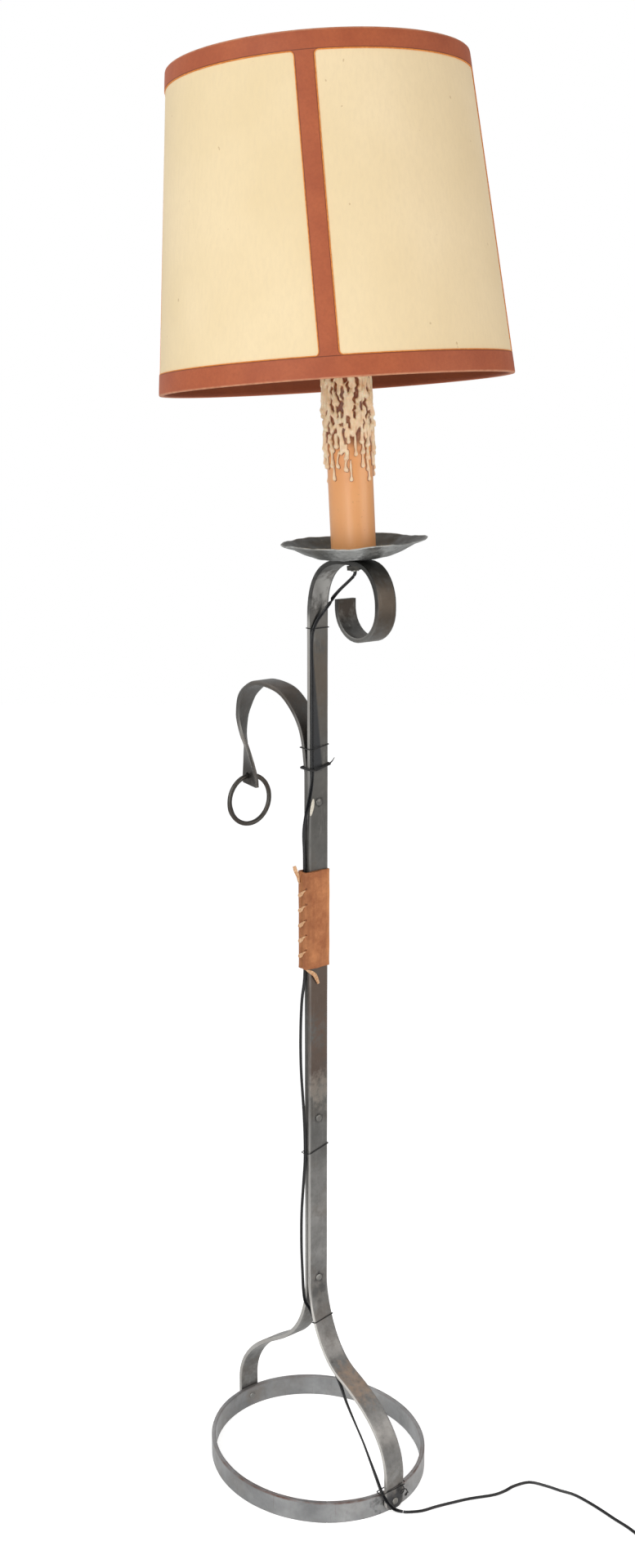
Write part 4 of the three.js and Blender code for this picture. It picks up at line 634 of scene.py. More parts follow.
def hook_stations():
    points = [(BACK_LINE - x * HOOK_REACH, HOOK_LOW + y * HOOK_DROP) for x, y in HOOK]
    stations = []
    for s, z in stepped(through(points, 10, 1e-9), 5):
        outside = BACK_LINE - s > HOOK_REACH * 0.8
        share = (TWIST_FROM - (z - HOOK_LOW) / HOOK_DROP) / (TWIST_FROM - TWIST_TO)
        turn = clip(share) * pi / 2 if outside else 0
        stations.append((on_bars(s, 0, z), BARS_OUT * -sin(turn) + ACROSS_BARS * cos(turn), 1.0))
    return stations


leg_line = stepped(leg_curve(BACK_LEG, BACK_LINE, -LEG_REACH - BACK_LINE), BAR_STEP)
back = (on_line(leg_line) + foot_end(-LEG_REACH))[::-1]
back += on_line((BACK_LINE, z) for z in np.arange(*STRAIGHT)) + hook_stations()
print("back bar:", len(back), "stations")

# %% The back bar
TIP_LINE, TIP_HOLE, TIP_HOLE_RADIUS, TIP_SLANT = BACK_LINE - HOOK_REACH * 0.907, HOOK_LOW + 13, 4.3, 0.25
rings = carried(back)
last_place, last_across, _ = back[-1]
rings[-1] = [point + UP * ((point - last_place).dot(last_across) * TIP_SLANT) for point in rings[-1]]
back_bar = skin("forged_back_bar", rings, IRON, "back_bar")
mark_points(back_bar, "edge", EDGES)
mark_points(back_bar, "lit", left_side(back, 0.1, 0.35))
drilled(back_bar, [(on_bars(TIP_LINE, -9, TIP_HOLE), on_bars(TIP_LINE, 9, TIP_HOLE), TIP_HOLE_RADIUS)])

# %% [markdown]
# The ring foot is the same bar, bent the easy way into an oval. Its two ends were welded and filed
# at the front, which leaves a faint dip in the top edge. So it is swept round and closed, with one
# narrower station at the weld. This iron is greyer, with rust along the top edge, most at the front.

# %% The ring foot
RING_SPOTS = spots_on((157, 0, 20, 30, (84, 84, 84), 0.6), (150, -20, 22, 16, (70, 70, 70), 0.5),
                      (-150, 6, 18, 20, (132, 124, 116), 0.6))
RING_IRON = iron_finish("ring_iron", (128, 129, 130), (188, 189, 190), (146, 138, 130), (104, 68, 54),
                        RING_SPOTS, stains=0.35, wear=0.9, slot="ring_iron")
LONG_RADIUS, SHORT_RADIUS, SEAM = 157.65, 142.35, -37
ring_stations = []
for degree in [SEAM - 0.35, SEAM, SEAM + 0.35] + list(np.linspace(SEAM + 2.4, SEAM + 357.6, 148)):
    turn = radians(degree)
    place = on_bars(LONG_RADIUS * cos(turn), SHORT_RADIUS * sin(turn), FOOT_Z)
    ring_stations.append((place, UP, 0.97 if degree == SEAM else 1.0))
foot_ring = skin("forged_foot_ring", carried(ring_stations, True, 0.3), RING_IRON, "base_ring", closed=True)
ring_middle = on_bars(0, 0, FOOT_Z)
rusted = []
for place, _, _ in ring_stations:
    front_share = 0.3 + 0.7 * clip((ring_middle - place).y / 0.1)
    rusted += [mark * (front_share if x > 13 else 0.12) for x, _, mark in SECTION]
mark_points(foot_ring, "edge", rusted)
print(foot_ring.name, len(foot_ring.data.vertices), "points")

# %% [markdown]
# Rivets hold the bars together. Each has a hammered head at both ends, low and not quite round, so
# the lathe helper lets a bend move its points.

# %% Turning a profile
def turned(name, profile, sides, where, finish, replaces="", body="lamp_frame", bend=None):
    """Carries (radius, height) pairs in mm round an axis; bend(turn, radius, height) moves them."""
    rings = []
    for turn in turns_of(sides):
        ring = [bend(turn, r, z) if bend else (r, z) for r, z in profile]
        rings.append([where(r * cos(turn), r * sin(turn), z) for r, z in ring])
    return skin(name, rings, finish, replaces, body, closed=True)


RIVET_IRON = iron_finish("rivet_iron", (104, 103, 101), (128, 127, 124), (112, 104, 94), (178, 178, 174),
                         wear=0.3, low=(178, 178, 175), slot="rivet_iron")
HEAD_RADIUS, HEAD_HEIGHT, HEAD_LIFT = 5, 1.8, 0.3


def hammered(turn, r, z):
    return r * (1 + 0.07 * noise.noise(Vector((cos(turn) * 2, sin(turn) * 2, z * 0.3)))), z


def rivet(name, start, end, height):
    start, end = start - HEAD_LIFT, end + HEAD_LIFT
    turns = [pi / 2 * i / 6 for i in range(7)]
    upper = [(max(HEAD_RADIUS * sin(a), 0.02), end + HEAD_HEIGHT * cos(a)) for a in turns]
    lower = [(r, start - (z - end)) for r, z in reversed(upper)]
    piece = turned("hammered_" + name, upper + [(3, end), (3, start)] + lower, 20,
                   lambda x, y, z: on_bars(z, x, height + y), RIVET_IRON, name, bend=hammered)
    half = [0, 0.1, 0.1, 0, 0, 0.6, 1]
    mark_points(piece, "edge", half + [1, 1] + half[::-1])


for number, height in enumerate(POLE_RIVETS, 1):
    rivet(f"pole_rivet_{number}", -9.3, 3, height)
rivet("front_foot_rivet", 154.65, 166.95, 16)
rivet("back_foot_rivet", -166.95, -154.65, 16)
print("five rivets")

# %% [markdown]
# The loose ring is a wire bent round and welded shut, with a small lump at the weld.

# %% The loose ring
RING_RADIUS, WIRE_RADIUS, WELD_AT = 33.75, 3.25, 40
wire_line = TIP_HOLE - TIP_HOLE_RADIUS + 0.5 + WIRE_RADIUS
rings = []
for i, turn in enumerate(turns_of(72)):
    weld = 1 + 0.1 * exp(-(((i - WELD_AT) / 2) ** 2))
    thick = WIRE_RADIUS * weld * (1 + 0.03 * noise.noise(Vector((i * 0.3, 0, 0))))
    ring = [(RING_RADIUS + thick * cos(a), thick * sin(a)) for a in turns_of(14)]
    rings.append([on_bars(TIP_LINE + s, reach * cos(turn), wire_line - RING_RADIUS + reach * sin(turn))
                  for reach, s in ring])
RING_WIRE = iron_finish("ring_wire", (66, 64, 61), (88, 85, 81), (84, 70, 60), (120, 117, 113), wear=0.2)
skin("welded_hanging_ring", rings, RING_WIRE, "hanging_ring", "loose_ring", closed=True)
print("loose ring hangs at", round(wire_line, 1))

# %% [markdown]
# The cable is flat twin flex, two cores side by side in one cover, so its section is a figure of
# eight. It comes down the hollow rod, over the face of the pole, and along its left edge under the
# leather and the ties. The stops say where it runs and which way its flat side looks: out from the
# bars, across them, and up.

# %% Flat twin flex
CORE, SPREAD = 1.3, 1.1
FLEX = two_tone("black_flex", "cable", 0.38, (16, 16, 18), (32, 33, 37), (35, 3), (0.35, 0.7),
                ((600, 2), 0.00005))


def twin_section(steps):
    points = []
    for side in (1, -1):
        turns = [radians(side * (70 - 140 * i / (steps - 1))) for i in range(steps)]
        points += [(side * (SPREAD + CORE * cos(a)), CORE * sin(a)) for a in turns] + [(0, side * CORE * 0.8)]
    return points


print("a core is", 2 * CORE, "mm thick")

# %% The cable on the pole
POLE_ROUTE = (
    ((1, 0, 0.2), (72, 1.1, 1263.4)), ((0.7, 0, 0.6), (69.6, 1.1, 1260.2)),
    ((0.5, 0, 0.8), (60.7, 1.4, 1253.6), (40.9, 3.4, 1241)),
    ((0.6, 0, 0.7), (24.5, 6, 1229.6)), ((1, 0, 0.5), (14.8, 9, 1222)),
    ((1, 0, 0), (8, 4, 1210), (5, -5, 1198), *((4.9, -12.3, z) for z in (1182, 1120, 1050, 1002))),
    ((1, -0.3, 0), (4.7, -14, 984)), ((0.8, -0.6, 0), (3.6, -17.2, 964)),
    ((0, -1, 0), (-2, -18.4, 942), (-6.2, -18.2, 920), *((-6.2, -17.2, z) for z in (890, 800, 720)),
     (-7, -21, 690), (-8, -22.7, 640), (-8, -22, 590), (-7, -18.4, 530), (-6.2, -17.2, 490),
     (-6.2, -17.2, 455), (-7, -19, 423), (-8, -21.5, 380), (-8, -22, 330), (-7, -21, 288)),
    ((0.2, -1, 0), (-5.5, -20.5, 262)), ((0.7, -0.7, 0), (-3.6, -18.9, 246)), ((1, 0, 0), (-2.4, -13, 234)),
    ((1, 0, 0.2), (0.5, -7.5, 220)), ((1, 0, 0.5), (6, -6, 207)), ((0.7, 0, 0.7), (15, -6, 193)),
    ((0.5, 0, 1), (36, -6, 167)), ((0, 0, 1), (60, -6, 138)), ((0.3, 0.4, 0.8), (75, -9, 122.5)),
    ((0.53, 0.75, 0.32), (96, -10, 99.4), (110.9, -10, 81.9)), ((0.5, 0.6, 0.5), (127.4, -12, 64)),
    ((0.2, 0.2, 0.9), (145.7, -16.5, 50)), ((0.4, 0, 1), (158.5, -19.6, 39.5)),
    ((1, 0, 0.4), (166, -19.8, 31)),
    ((1, -0.3, 0), (169.4, -16.8, 24)), ((1, 0, 0), (169.2, -11, 15.5)), ((1, 0, 0.3), (169.5, -4, 7)),
    ((0.5, 0, 1), (171.5, 1.6, 2.9)), ((0, 0, 1), (176, 6.3, 1.7)),
)
stops = [(in_holder(0, 0, 16), BARS_OUT)]
stops += [(in_rod(0, 0, ROD_LENGTH * share), BARS_OUT) for share in (1, 0.7, 0.35, 0.03)]
stops.append((in_rod(0, 0, -13.9), BARS_OUT))
for (out, across, rise), *row in POLE_ROUTE:
    stops += [(on_bars(*place), BARS_OUT * out + ACROSS_BARS * across + UP * rise) for place in row]
places = smooth([place for place, _ in stops], 5)
looks = np.array([tuple(look) for _, look in stops])
marks = np.linspace(0, len(stops) - 1, len(places))
looks = np.stack([np.interp(marks, range(len(stops)), looks[:, k]) for k in range(3)], axis=1)
rings = swept(places, [Vector(look) for look in looks], [twin_section(7)] * len(places))
skin("twin_flex_on_pole", rings, FLEX, "pole_cable")
print("cable on the pole:", round(length_of(places), 2), "m")

# %% [markdown]
# The free lead lies on the floor. The photograph shows about 0.4 m of it leaving to the right. A
# lamp like this has about 2 m with a switch in the line, so the rest is wound into a neat coil just
# outside the view, in four layers, and ends in a flat two-pin plug. It is one tube from the foot to
# the plug, through the switch.

# %% The free lead's line
CORD_FLOOR, COIL_FLOOR, COIL_START, LAYER_RISE = 1.5, 2.3, 2.5, 3.8
SWITCH_X, SWITCH_Y, SWITCH_LENGTH, SWITCH_LEVEL = 456, -212, 60, 7.15
COIL_X, COIL_Y, COIL_INNER, COIL_TURNS, COIL_LAYERS = 562, -176.6, 24.6, 7.5, 4
LAYER_TURNS = COIL_TURNS / COIL_LAYERS
COIL_OUTER = COIL_INNER + 6 * LAYER_TURNS
PLUG_X, PLUG_Y, PLUG_AXIS = COIL_X - 45, COIL_Y + COIL_OUTER, 6.85
FLOOR_ROUTE = (
    (141.4, -130.7), (160.8, -122), (183.7, -113.2), (209, -104.4), (244.7, -95.5), (260.3, -86.5),
    (271.5, -77.5), (295.2, -68.4), (319.1, -77.5), (334.8, -86.5), (352.7, -95.5), (371.3, -113.2),
    (386.4, -130.7), (400.1, -147.9), (414.7, -164.9), (423, -177), (430.5, -190),
)
CLIMB = ((16, 9, 0.14), (9.5, 2.7, 0.6), (5, 0.2, 0.93), (0, 0, 1), (-8, 0, 1))


def coil_places(steps=32):
    """The coil, turn by turn; each climb to the next layer takes the half turn round a reversal."""
    found = []
    for turns in np.arange(int(COIL_TURNS * steps) + 1) / steps:
        layer = min(int(turns / LAYER_TURNS), COIL_LAYERS - 1)
        share = turns / LAYER_TURNS - layer
        radius = COIL_INNER + (share if layer % 2 else 1 - share) * (COIL_OUTER - COIL_INNER)
        climbed = sum(clip((turns - LAYER_TURNS * (i + 1) + 0.25) / 0.5) for i in range(COIL_LAYERS - 1))
        turn = -pi / 2 + turns * 2 * pi
        x, y = COIL_X + radius * cos(turn), COIL_Y + radius * sin(turn)
        found.append(by_pole(x, y, COIL_FLOOR + LAYER_RISE * climbed))
    return found


exit_place = on_bars(176, 6.3, CORD_FLOOR)
exit_run = (exit_place - on_bars(171.5, 1.6, CORD_FLOOR)).normalized()
lead = [exit_place + exit_run * 0.0006, exit_place + exit_run * 0.006]
lead += [by_pole(x, y, CORD_FLOOR) for x, y in FLOOR_ROUTE]
lead += [by_pole(SWITCH_X - short, SWITCH_Y + aside, CORD_FLOOR + (SWITCH_LEVEL - CORD_FLOOR) * share)
         for short, aside, share in CLIMB]
coil = coil_places()
outlet = SWITCH_X + SWITCH_LENGTH
gap = (coil[0] - by_pole(outlet, SWITCH_Y, SWITCH_LEVEL)).x / MM
halfway = (SWITCH_LEVEL + COIL_START) / 2
lead += [by_pole(outlet + x, SWITCH_Y, z) for x, z in (
    (-8, SWITCH_LEVEL), (0, SWITCH_LEVEL), (gap * 0.15, SWITCH_LEVEL), (gap * 0.55, halfway),
    (gap * 0.8, COIL_START))]
tail, drop = COIL_X - PLUG_X, COIL_START + LAYER_RISE * 3 - PLUG_AXIS
after = [by_pole(x, PLUG_Y, PLUG_AXIS + drop * share) for x, share in (
    (COIL_X - tail * 0.35, 0.8), (COIL_X - tail * 0.7, 0.15), (PLUG_X + 5.4, 0), (PLUG_X + 0.3, 0))]
print("lead's stops:", len(lead), "coil's places:", len(coil))

# %% The free lead
lead_line = smooth(lead, 4) + smooth([lead[-1], coil[0]], 3)[1:-1] + coil + smooth(coil[-2:] + after, 4)[5:]
lead_length = length_of(lead_line)
rings = swept(lead_line, [UP] * len(lead_line), [twin_section(5)] * len(lead_line))
free_lead = skin("twin_flex_lead", rings, FLEX, "free_cord cord_coil")
print("free lead:", round(lead_length, 3), "m in", len(lead_line), "rings")

# %% [markdown]
# Threads, wires and a black tie hold the cable to the iron. Each is a thin tube once round what it
# holds. The line round a bar and its cable is the outline of their corners, pushed out a little.

# %% Ties
def outline_of(places):
    """The outermost of some [x, y] places, in turn."""
    def side(points):
        chain = []
        for p in points:
            while len(chain) > 1:
                (ax, ay), (bx, by) = chain[-2], chain[-1]
                if (bx - ax) * (p[1] - ay) - (by - ay) * (p[0] - ax) > 0:
                    break
                chain.pop()
            chain.append(p)
        return chain[:-1]

    ordered = sorted(places)
    return side(ordered) + side(ordered[::-1])


def round_about(places, reach, step=pi / 10):
    """The outline of some places, pushed out by a reach in mm, with round corners."""
    outline = outline_of(places)
    found = []
    for i, (x, y) in enumerate(outline):
        (bx, by), (ax, ay) = outline[i - 1], outline[(i + 1) % len(outline)]
        start = atan2(-(x - bx), y - by)
        sweep = (atan2(-(ax - x), ay - y) - start) % (2 * pi)
        count = max(1, ceil(sweep / step))
        turns = [start + sweep * k / count for k in range(count + 1)]
        found += [(x + reach * cos(turn), y + reach * sin(turn)) for turn in turns]
    return found


def thread_finish(name, first, second, roughness, slot="thread", metallic=0.0):
    return two_tone(name, slot, roughness, first, second, (300, 2), (0.35, 0.65), ((900, 2), 0.0001),
                    metallic=metallic)


THREAD = thread_finish("black_thread", (14, 14, 16), (38, 37, 38), 0.75)
BINDING_WIRE = thread_finish("binding_wire", (16, 16, 17), (38, 38, 38), 0.45, "plated_steel", 0.3)
BAR_CORNERS = [(-3, -15), (3, -15), (3, 15), (-3, 15)]
BACK_CORNERS = [(x + BACK_LINE, y) for x, y in BAR_CORNERS]
FACE_CABLE = [(3.3, -15.3), (6.8, -15.3), (6.8, -9.3), (3.3, -9.3)]
EDGE_CABLE = [(-9.2, -19.1), (-3.2, -19.1), (-3.2, -15.3), (-9.2, -15.3)]
BEHIND_GAP, THREAD_RADIUS = BACK_LINE - BAR_HIGH, 0.6

# %% The ties on the pole
hook_gap = [(BEHIND_GAP - HOOK_REACH * 0.045, w) for w in (-15, 15)]
for node, corners, height, slope, finish in (
    ("top_thread", FACE_CABLE + [(6.8, -6.2)], 1189, -0.02, THREAD),
    ("hook_wire", hook_gap + FACE_CABLE, 1034, 0.12, BINDING_WIRE),
    ("low_thread", BACK_CORNERS + EDGE_CABLE, 473, 0.24, THREAD),
):
    line = [on_bars(s, w, height + slope * w) for s, w in round_about(BAR_CORNERS + corners, 0.9)]
    wire("bound_" + node, line, THREAD_RADIUS, finish, node, closed=True)
print("thread, wire and thread")

# %% [markdown]
# The black tie is thick and soft: it sags on the face of the pole, its left end curls back, and its
# right end stands out in a point.

# %% The black tie
TIE_LEVEL = 1008
tie_gap = [(BEHIND_GAP - HOOK_REACH * 0.02, w) for w in (-15, 15)]
loop = round_about(BAR_CORNERS + tie_gap + FACE_CABLE, 1.8)
front_run = [i for i, (s, w) in enumerate(loop) if s > 3 and w > -14]
start = max(front_run, key=lambda i: loop[i][1])
line = [on_bars(8, 22, TIE_LEVEL + 10), on_bars(6.5, 19, TIE_LEVEL + 5)]
for s, w in reversed(loop[start:] + loop[:start]):
    sag = 2.2 * cos(w / 18 * pi / 2) if s > 3 else 0
    line.append(on_bars(s, w, TIE_LEVEL + 0.12 * w - sag))
line = smooth(line + [on_bars(5, 17.5, TIE_LEVEL + 0.5)], 3)
sizes = [1.5 * min(1, 0.25 + 0.09 * i) for i in range(len(line))]
wire("soft_black_tie", line, sizes, THREAD, "black_tie", sides=10)
print("black tie:", len(line), "rings")

# %% The wires at the front leg
CURL_STEPS, CURL_TURNS = 26, 2.1


def leg_frame(height):
    """The place and run of the front leg's middle line at a height."""
    line = front_line()
    low = [i for i in range(1, len(line)) if line[i][1] <= height < line[i - 1][1] and line[i][0] < 150][-1]
    step = line[low] - line[low - 1]
    return line[low - 1] + step * (line[low - 1][1] - height) / -step[1], step / np.linalg.norm(step)


middle, run = leg_frame(220)
line = []
for x, w in round_about(BAR_CORNERS, 1.1):
    slide = w * 0.12
    line.append(on_bars(middle[0] - x * run[1] - slide * run[0], w, middle[1] + x * run[0] - slide * run[1]))
wire("bound_leg_wire", line, THREAD_RADIUS, BINDING_WIRE, "leg_wire", closed=True)
cable_corners = [(s, w) for s in (157.5, 166) for w in (-23.2, -17)]
loop = round_about([(x + LEG_REACH, w) for x, w in BAR_CORNERS] + cable_corners, 0.9)
start = min(range(len(loop)), key=lambda i: abs(loop[i][1] - 6) + (0 if loop[i][0] > 167 else 99))
loop = loop[start:] + loop[:start]
line = [on_bars(s, w, 38 + 0.12 * w) for s, w in loop]
line += [on_bars(s + 1.4, w, 35.5 + 0.1 * w) for s, w in loop[:1]]
for i in range(CURL_STEPS):
    turn = i / CURL_STEPS * 2 * pi * CURL_TURNS
    size = 5.2 - 0.09 * i
    line.append(on_bars(169.4 + 0.25 * i, 7 + 0.35 * i + size * sin(turn), 33 - 0.35 * i + size * cos(turn)))
wire("curled_foot_wire", smooth(line, 2), 0.75, BINDING_WIRE, "foot_wire", sides=6)
print("leg wire and foot wire")

# %% [markdown]
# A small pale scrap sits between the cable and the pole, beside the upper rivet.

# %% The pale scrap
SCRAP = ((5.2, -12.4, 967), (5.6, -13.8, 960), (5.2, -15.2, 952), (4.6, -16.4, 945))
places = smooth([on_bars(*place) for place in SCRAP], 5)
rings = []
for i, place in enumerate(places):
    half = 0.4 + 2.5 * sin(pi * (i + 1) / (len(places) + 1)) ** 0.8
    rings.append([place + ACROSS_BARS * cos(a) * half * MM + BARS_OUT * (sin(a) * 0.3 + 1.6) * MM
                  for a in turns_of(8)])
skin("pale_scrap_piece", rings, thread_finish("pale_scrap_finish", (212, 206, 192), (236, 230, 216), 0.6))
print("scrap of tape")

# %% [markdown]
# The leather sleeve is a strip folded round both bars and the cable. Its edges meet at the near
# narrow side and are laced together. The leather is 2.3 mm thick, a little wavy, rubbed lighter at
# its far corner, and painted in shade round small punched holes and along its near side.

# %% Leather
SLEEVE_LOW, SLEEVE_HIGH, LEATHER_THICK = 735, 868, 2.3
NEAR, FAR, BEHIND, BEFORE = -21.8, 15.3, -9.6, 3.3
SEAM_LINE = (BEHIND + BEFORE) / 2
LACE_ROWS = [SLEEVE_LOW + share * (SLEEVE_HIGH - SLEEVE_LOW) for share in np.linspace(0.8, 0.17, 5)]
LACE_FRONT, LACE_BACK, STITCH_DROP = SEAM_LINE + 4.3, SEAM_LINE - 6, 7.6


def leather_finish():
    made = Finish("tan_leather", "leather", 0.58)
    made.start((158, 90, 48), (204, 134, 84), (42, 5, 0.65), (0.36, 0.66))
    made.paint((150, 88, 50), (30, 5, 0.7, (3, 3, 0.5)), (0.5, 0.72, 0, 0.7))
    made.paint((222, 150, 92), (90, 4), (0.25, 0.6, 0.2, 0.8), "edge")
    # painted shade in the small punched holes
    for z in LACE_ROWS:
        made.spot(on_bars(BEFORE + 1.8, NEAR - 1.4, z + 5), 2.0, (46, 24, 14), 0.95)
    made.paint((96, 54, 30), mark="shadow")
    return made.done(((650, 3, 0.7), 0.00022), ((110, 3), 0.0006, 0.6))


def sleeve_outline(offset):
    """The open outline of the leather at an offset from its inner face, from slit to slit."""
    radius = 0.9 + offset
    points = [(SEAM_LINE + 0.6, NEAR - offset, 0.9), (SEAM_LINE + 2.5, NEAR - offset, 0.1)]
    for side_s, side_w, first in ((1, -1, -90), (1, 1, 0), (-1, 1, 90), (-1, -1, 180)):
        edge_s = BEFORE + offset if side_s > 0 else BEHIND - offset
        edge_w = FAR + offset if side_w > 0 else NEAR - offset
        for i in range(5):
            turn = radians(first + 90 * i / 4)
            points.append((edge_s + radius * (cos(turn) - side_s), edge_w + radius * (sin(turn) - side_w),
                           1.0 if first == 0 else 0.2))
        points += [(edge_s, w, 0.0) for w in {-90: (-13, -5, 4, 10), 90: (10, 0, -10)}.get(first, ())]
    return points + [(SEAM_LINE - 2.5, NEAR - offset, 0.1), (SEAM_LINE - 0.6, NEAR - offset, 0.9)]


outer, inner = sleeve_outline(LEATHER_THICK), sleeve_outline(0)
section = outer + inner[::-1]
rings = []
for z in [SLEEVE_LOW] + list(np.linspace(SLEEVE_LOW + 1, SLEEVE_HIGH - 1, 30)) + [SLEEVE_HIGH]:
    end = min(z - SLEEVE_LOW, SLEEVE_HIGH - z)
    ring = []
    for i, (s, w, _) in enumerate(section):
        push = 0.55 * noise.noise(Vector((s * 0.12, w * 0.12, z * 0.04))) + 0.5 * exp(-end / 3)
        out = push * (i < len(outer)) * (1 if s > SEAM_LINE else -1)
        ring.append(on_bars(s + out, w, z + 0.6 * sin(w * 0.25) * (end < 0.5)))
    rings.append(ring)
sleeve = skin("laced_leather_sleeve", rings, leather_finish(), "leather_sleeve")
mark_points(sleeve, "edge", [mark for _, _, mark in section])
mark_points(sleeve, "shadow", [0.3 if w < NEAR + 1 else 0.0 for _, w, _ in section])
holes = [(LACE_FRONT + 1.2, z + 2.3) for z in LACE_ROWS] + [(LACE_BACK, z - STITCH_DROP) for z in LACE_ROWS]
holes = [(on_bars(s, NEAR - 4, z), on_bars(s, NEAR + 1.5, z), 1.7) for s, z in holes]
holes += [(on_bars(BEFORE + 5, NEAR - 5, z + 5), on_bars(BEFORE, NEAR, z + 5), 1.2) for z in LACE_ROWS]
drilled(sleeve, holes)

# %% [markdown]
# The lace is a flat raw thong. It starts in a loose end at the top left and goes over the seam on a
# short slant five times. Inside, it runs down to the next hole, and it ends in a frayed tail.

# %% The lace
THONG_HALF_THICK = 0.65


def lace_line():
    """(s, w, z, half width) along the thong: in at the back row, up inside, out at the front row."""
    inside, outside = NEAR + 1.0, NEAR - LEATHER_THICK - 0.8
    line = [(LACE_BACK + s, w, SLEEVE_HIGH + z, half) for s, w, z, half in (
        (-4.4, outside - 3.2, 7, 2.2), (-3, outside - 2.4, 1, 2.6), (-0.5, outside - 0.6, -6, 2.6),
        (1, outside, -14, 2.0), (2, inside, -19, 1.3))]
    for row in LACE_ROWS:
        line += [(s, w, row + z, half) for s, w, z, half in (
            (LACE_FRONT + 1.6, inside, 3, 1.0), (LACE_FRONT + 0.8, outside + 0.3, 1.6, 1.2),
            (LACE_FRONT - 3.5, outside, -2.6, 2.5), (LACE_BACK + 1, outside, -6.4, 2.5),
            (LACE_BACK, outside + 0.6, -STITCH_DROP, 1.4), (LACE_BACK + 0.8, inside, -8.2, 1.2))]
    line.append((LACE_BACK + 5, inside, LACE_ROWS[-1] - 14, 1.3))
    return line + [(s, w, SLEEVE_LOW - z, half) for s, w, z, half in (
        (3.2, NEAR + 0.5, 0.5, 1.6), (5.4, -16, 4, 2.4), (6, -10, 9, 2.9), (5.6, -6, 15, 2.7),
        (4.8, -2, 23, 1.8))]


line = np.array(through([(*on_bars(s, w, z), half * MM) for s, w, z, half in lace_line()], 6))
looks, sections = [], []
for i, size in enumerate(line[:, 3]):
    low_tail, top_tail = clip((i - len(line) + 26) / 12), clip((16 - i) / 10)
    looks.append((BARS_OUT * (low_tail + 1.2 * top_tail) - ACROSS_BARS * (1 - low_tail)).normalized())
    half = max(size / MM, 0.4) * (1 + 0.12 * noise.noise(Vector((i * 0.21, 3, 0))))
    sections.append([(cos(a) * half, sin(a) * THONG_HALF_THICK) for a in turns_of(10)])
rings = swept([Vector(p[:3]) for p in line], looks, sections)
THONG = thread_finish("raw_thong", (196, 142, 100), (232, 190, 148), 0.7, "lace")
skin("whip_stitched_lace", rings, THONG, "sleeve_lace")
print("lace:", len(line), "rings")

# %% [markdown]
# The drip dish is a thin beaten disc, raised towards its rim. The rim waves a little and is drawn
# out to a point at both sides. The hammer marks are shallow hollows, made from cell noise.

# %% The drip dish
DISH_LIFT, DISH_RADIUS, DISH_HEIGHT, DISH_SHEET = 1.3, 85.5, 19.6, 1.5
DISH_PROFILE = ((0.069, 0), (0.2, 0), (0.42, 0), (0.5, 0.05), (0.62, 0.22), (0.76, 0.5), (0.9, 0.83), (1, 1))
rings = []
for turn in turns_of(160):
    tip = 4.5 * abs(cos(turn)) ** 14
    wave = 1.4 * (sin(5 * turn + 1) + 0.6 * sin(9 * turn))
    bent = 3.0 * max(0, sin(turn)) ** 1.5 - 2.0 * max(0, -sin(turn)) ** 1.5
    lower, upper = [], []
    for r, h in through(DISH_PROFILE, 4):
        far = r**6
        reach = DISH_RADIUS * r + (tip + wave) * far
        x, y = reach * cos(turn), reach * sin(turn)
        level = DISH_LIFT + DISH_HEIGHT * h + (wave * 0.6 + bent) * far
        if r > 0.4:
            level += (noise.voronoi(Vector((x, y, 0)) * 0.085)[0][0] - 0.35) * 1.1
        lower.append((x, y, level))
        upper.append((x * (1 - 0.0025), y * (1 - 0.0025), level + DISH_SHEET))
    x, y, level = lower[-1]
    rim = (x * 1.006, y * 1.006, level + DISH_SHEET / 2)
    rings.append([in_dish(*p) for p in lower + [rim] + upper[::-1]])
# The two pale spots at the front are painted highlights, and the dark one at the left is painted shade. The
# upper face's shadow mark is painted shade, and the strong rubbing on the rim is partly wear and partly a
# painted highlight.
DISH_HIGHLIGHTS_AND_SHADE = [(in_dish(-2, -74, 12), 40, (212, 214, 212), 0.8),
              (in_dish(-58, -48, 12), 26, (66, 66, 64), 0.6),
              (in_dish(40, -66, 12), 20, (186, 188, 186), 0.5)]
DISH_IRON = iron_finish("beaten_iron", (84, 85, 83), (146, 148, 146), (108, 98, 82), (214, 216, 213),
                        DISH_HIGHLIGHTS_AND_SHADE, wear=0.8)
dish = skin("beaten_drip_dish", rings, DISH_IRON, "drip_dish", closed=True)
width = len(rings[0])
mark_points(dish, "edge", [1.0 if abs(j - width // 2) <= 1 else 0.0 for j in range(width)])
mark_points(dish, "shadow", [0.55 if j > width // 2 + 1 else 0.0 for j in range(width)])
print(dish.name, len(dish.data.vertices), "points")

# %% [markdown]
# The candle is a waxed card tube, plain and tan, and dark under the wax: partly stain, partly
# painted shade in the wax's gaps. Its foot shows a rough pale edge.

# %% The candle
def candle_finish():
    made = Finish("waxed_card", "candle_card", 0.33, Subsurface_Weight=0.04)
    made.start((236, 160, 100), (246, 178, 120), (16, 3, 0.5, (1, 1, 0.4)), (0.3, 0.7))
    made.paint((206, 140, 90), (220, 2), (0.66, 0.74, 0, 0.35))
    # darker under the wax: partly stain, partly painted shade where the wax's gaps show the card
    made.paint((122, 60, 28), (120, 3), (0.25, 0.55, 0.55, 1), "under_wax")
    return made.done(((260, 2), 0.00006))


def torn(turn, r, z):
    """The card's edge sticks out on the left."""
    left = max(0, -cos(turn)) ** 3
    return r + (left * 3.5 + 1.2 * left * noise.noise(Vector((sin(turn) * 9, 4, 1)))) * (r > 25), z


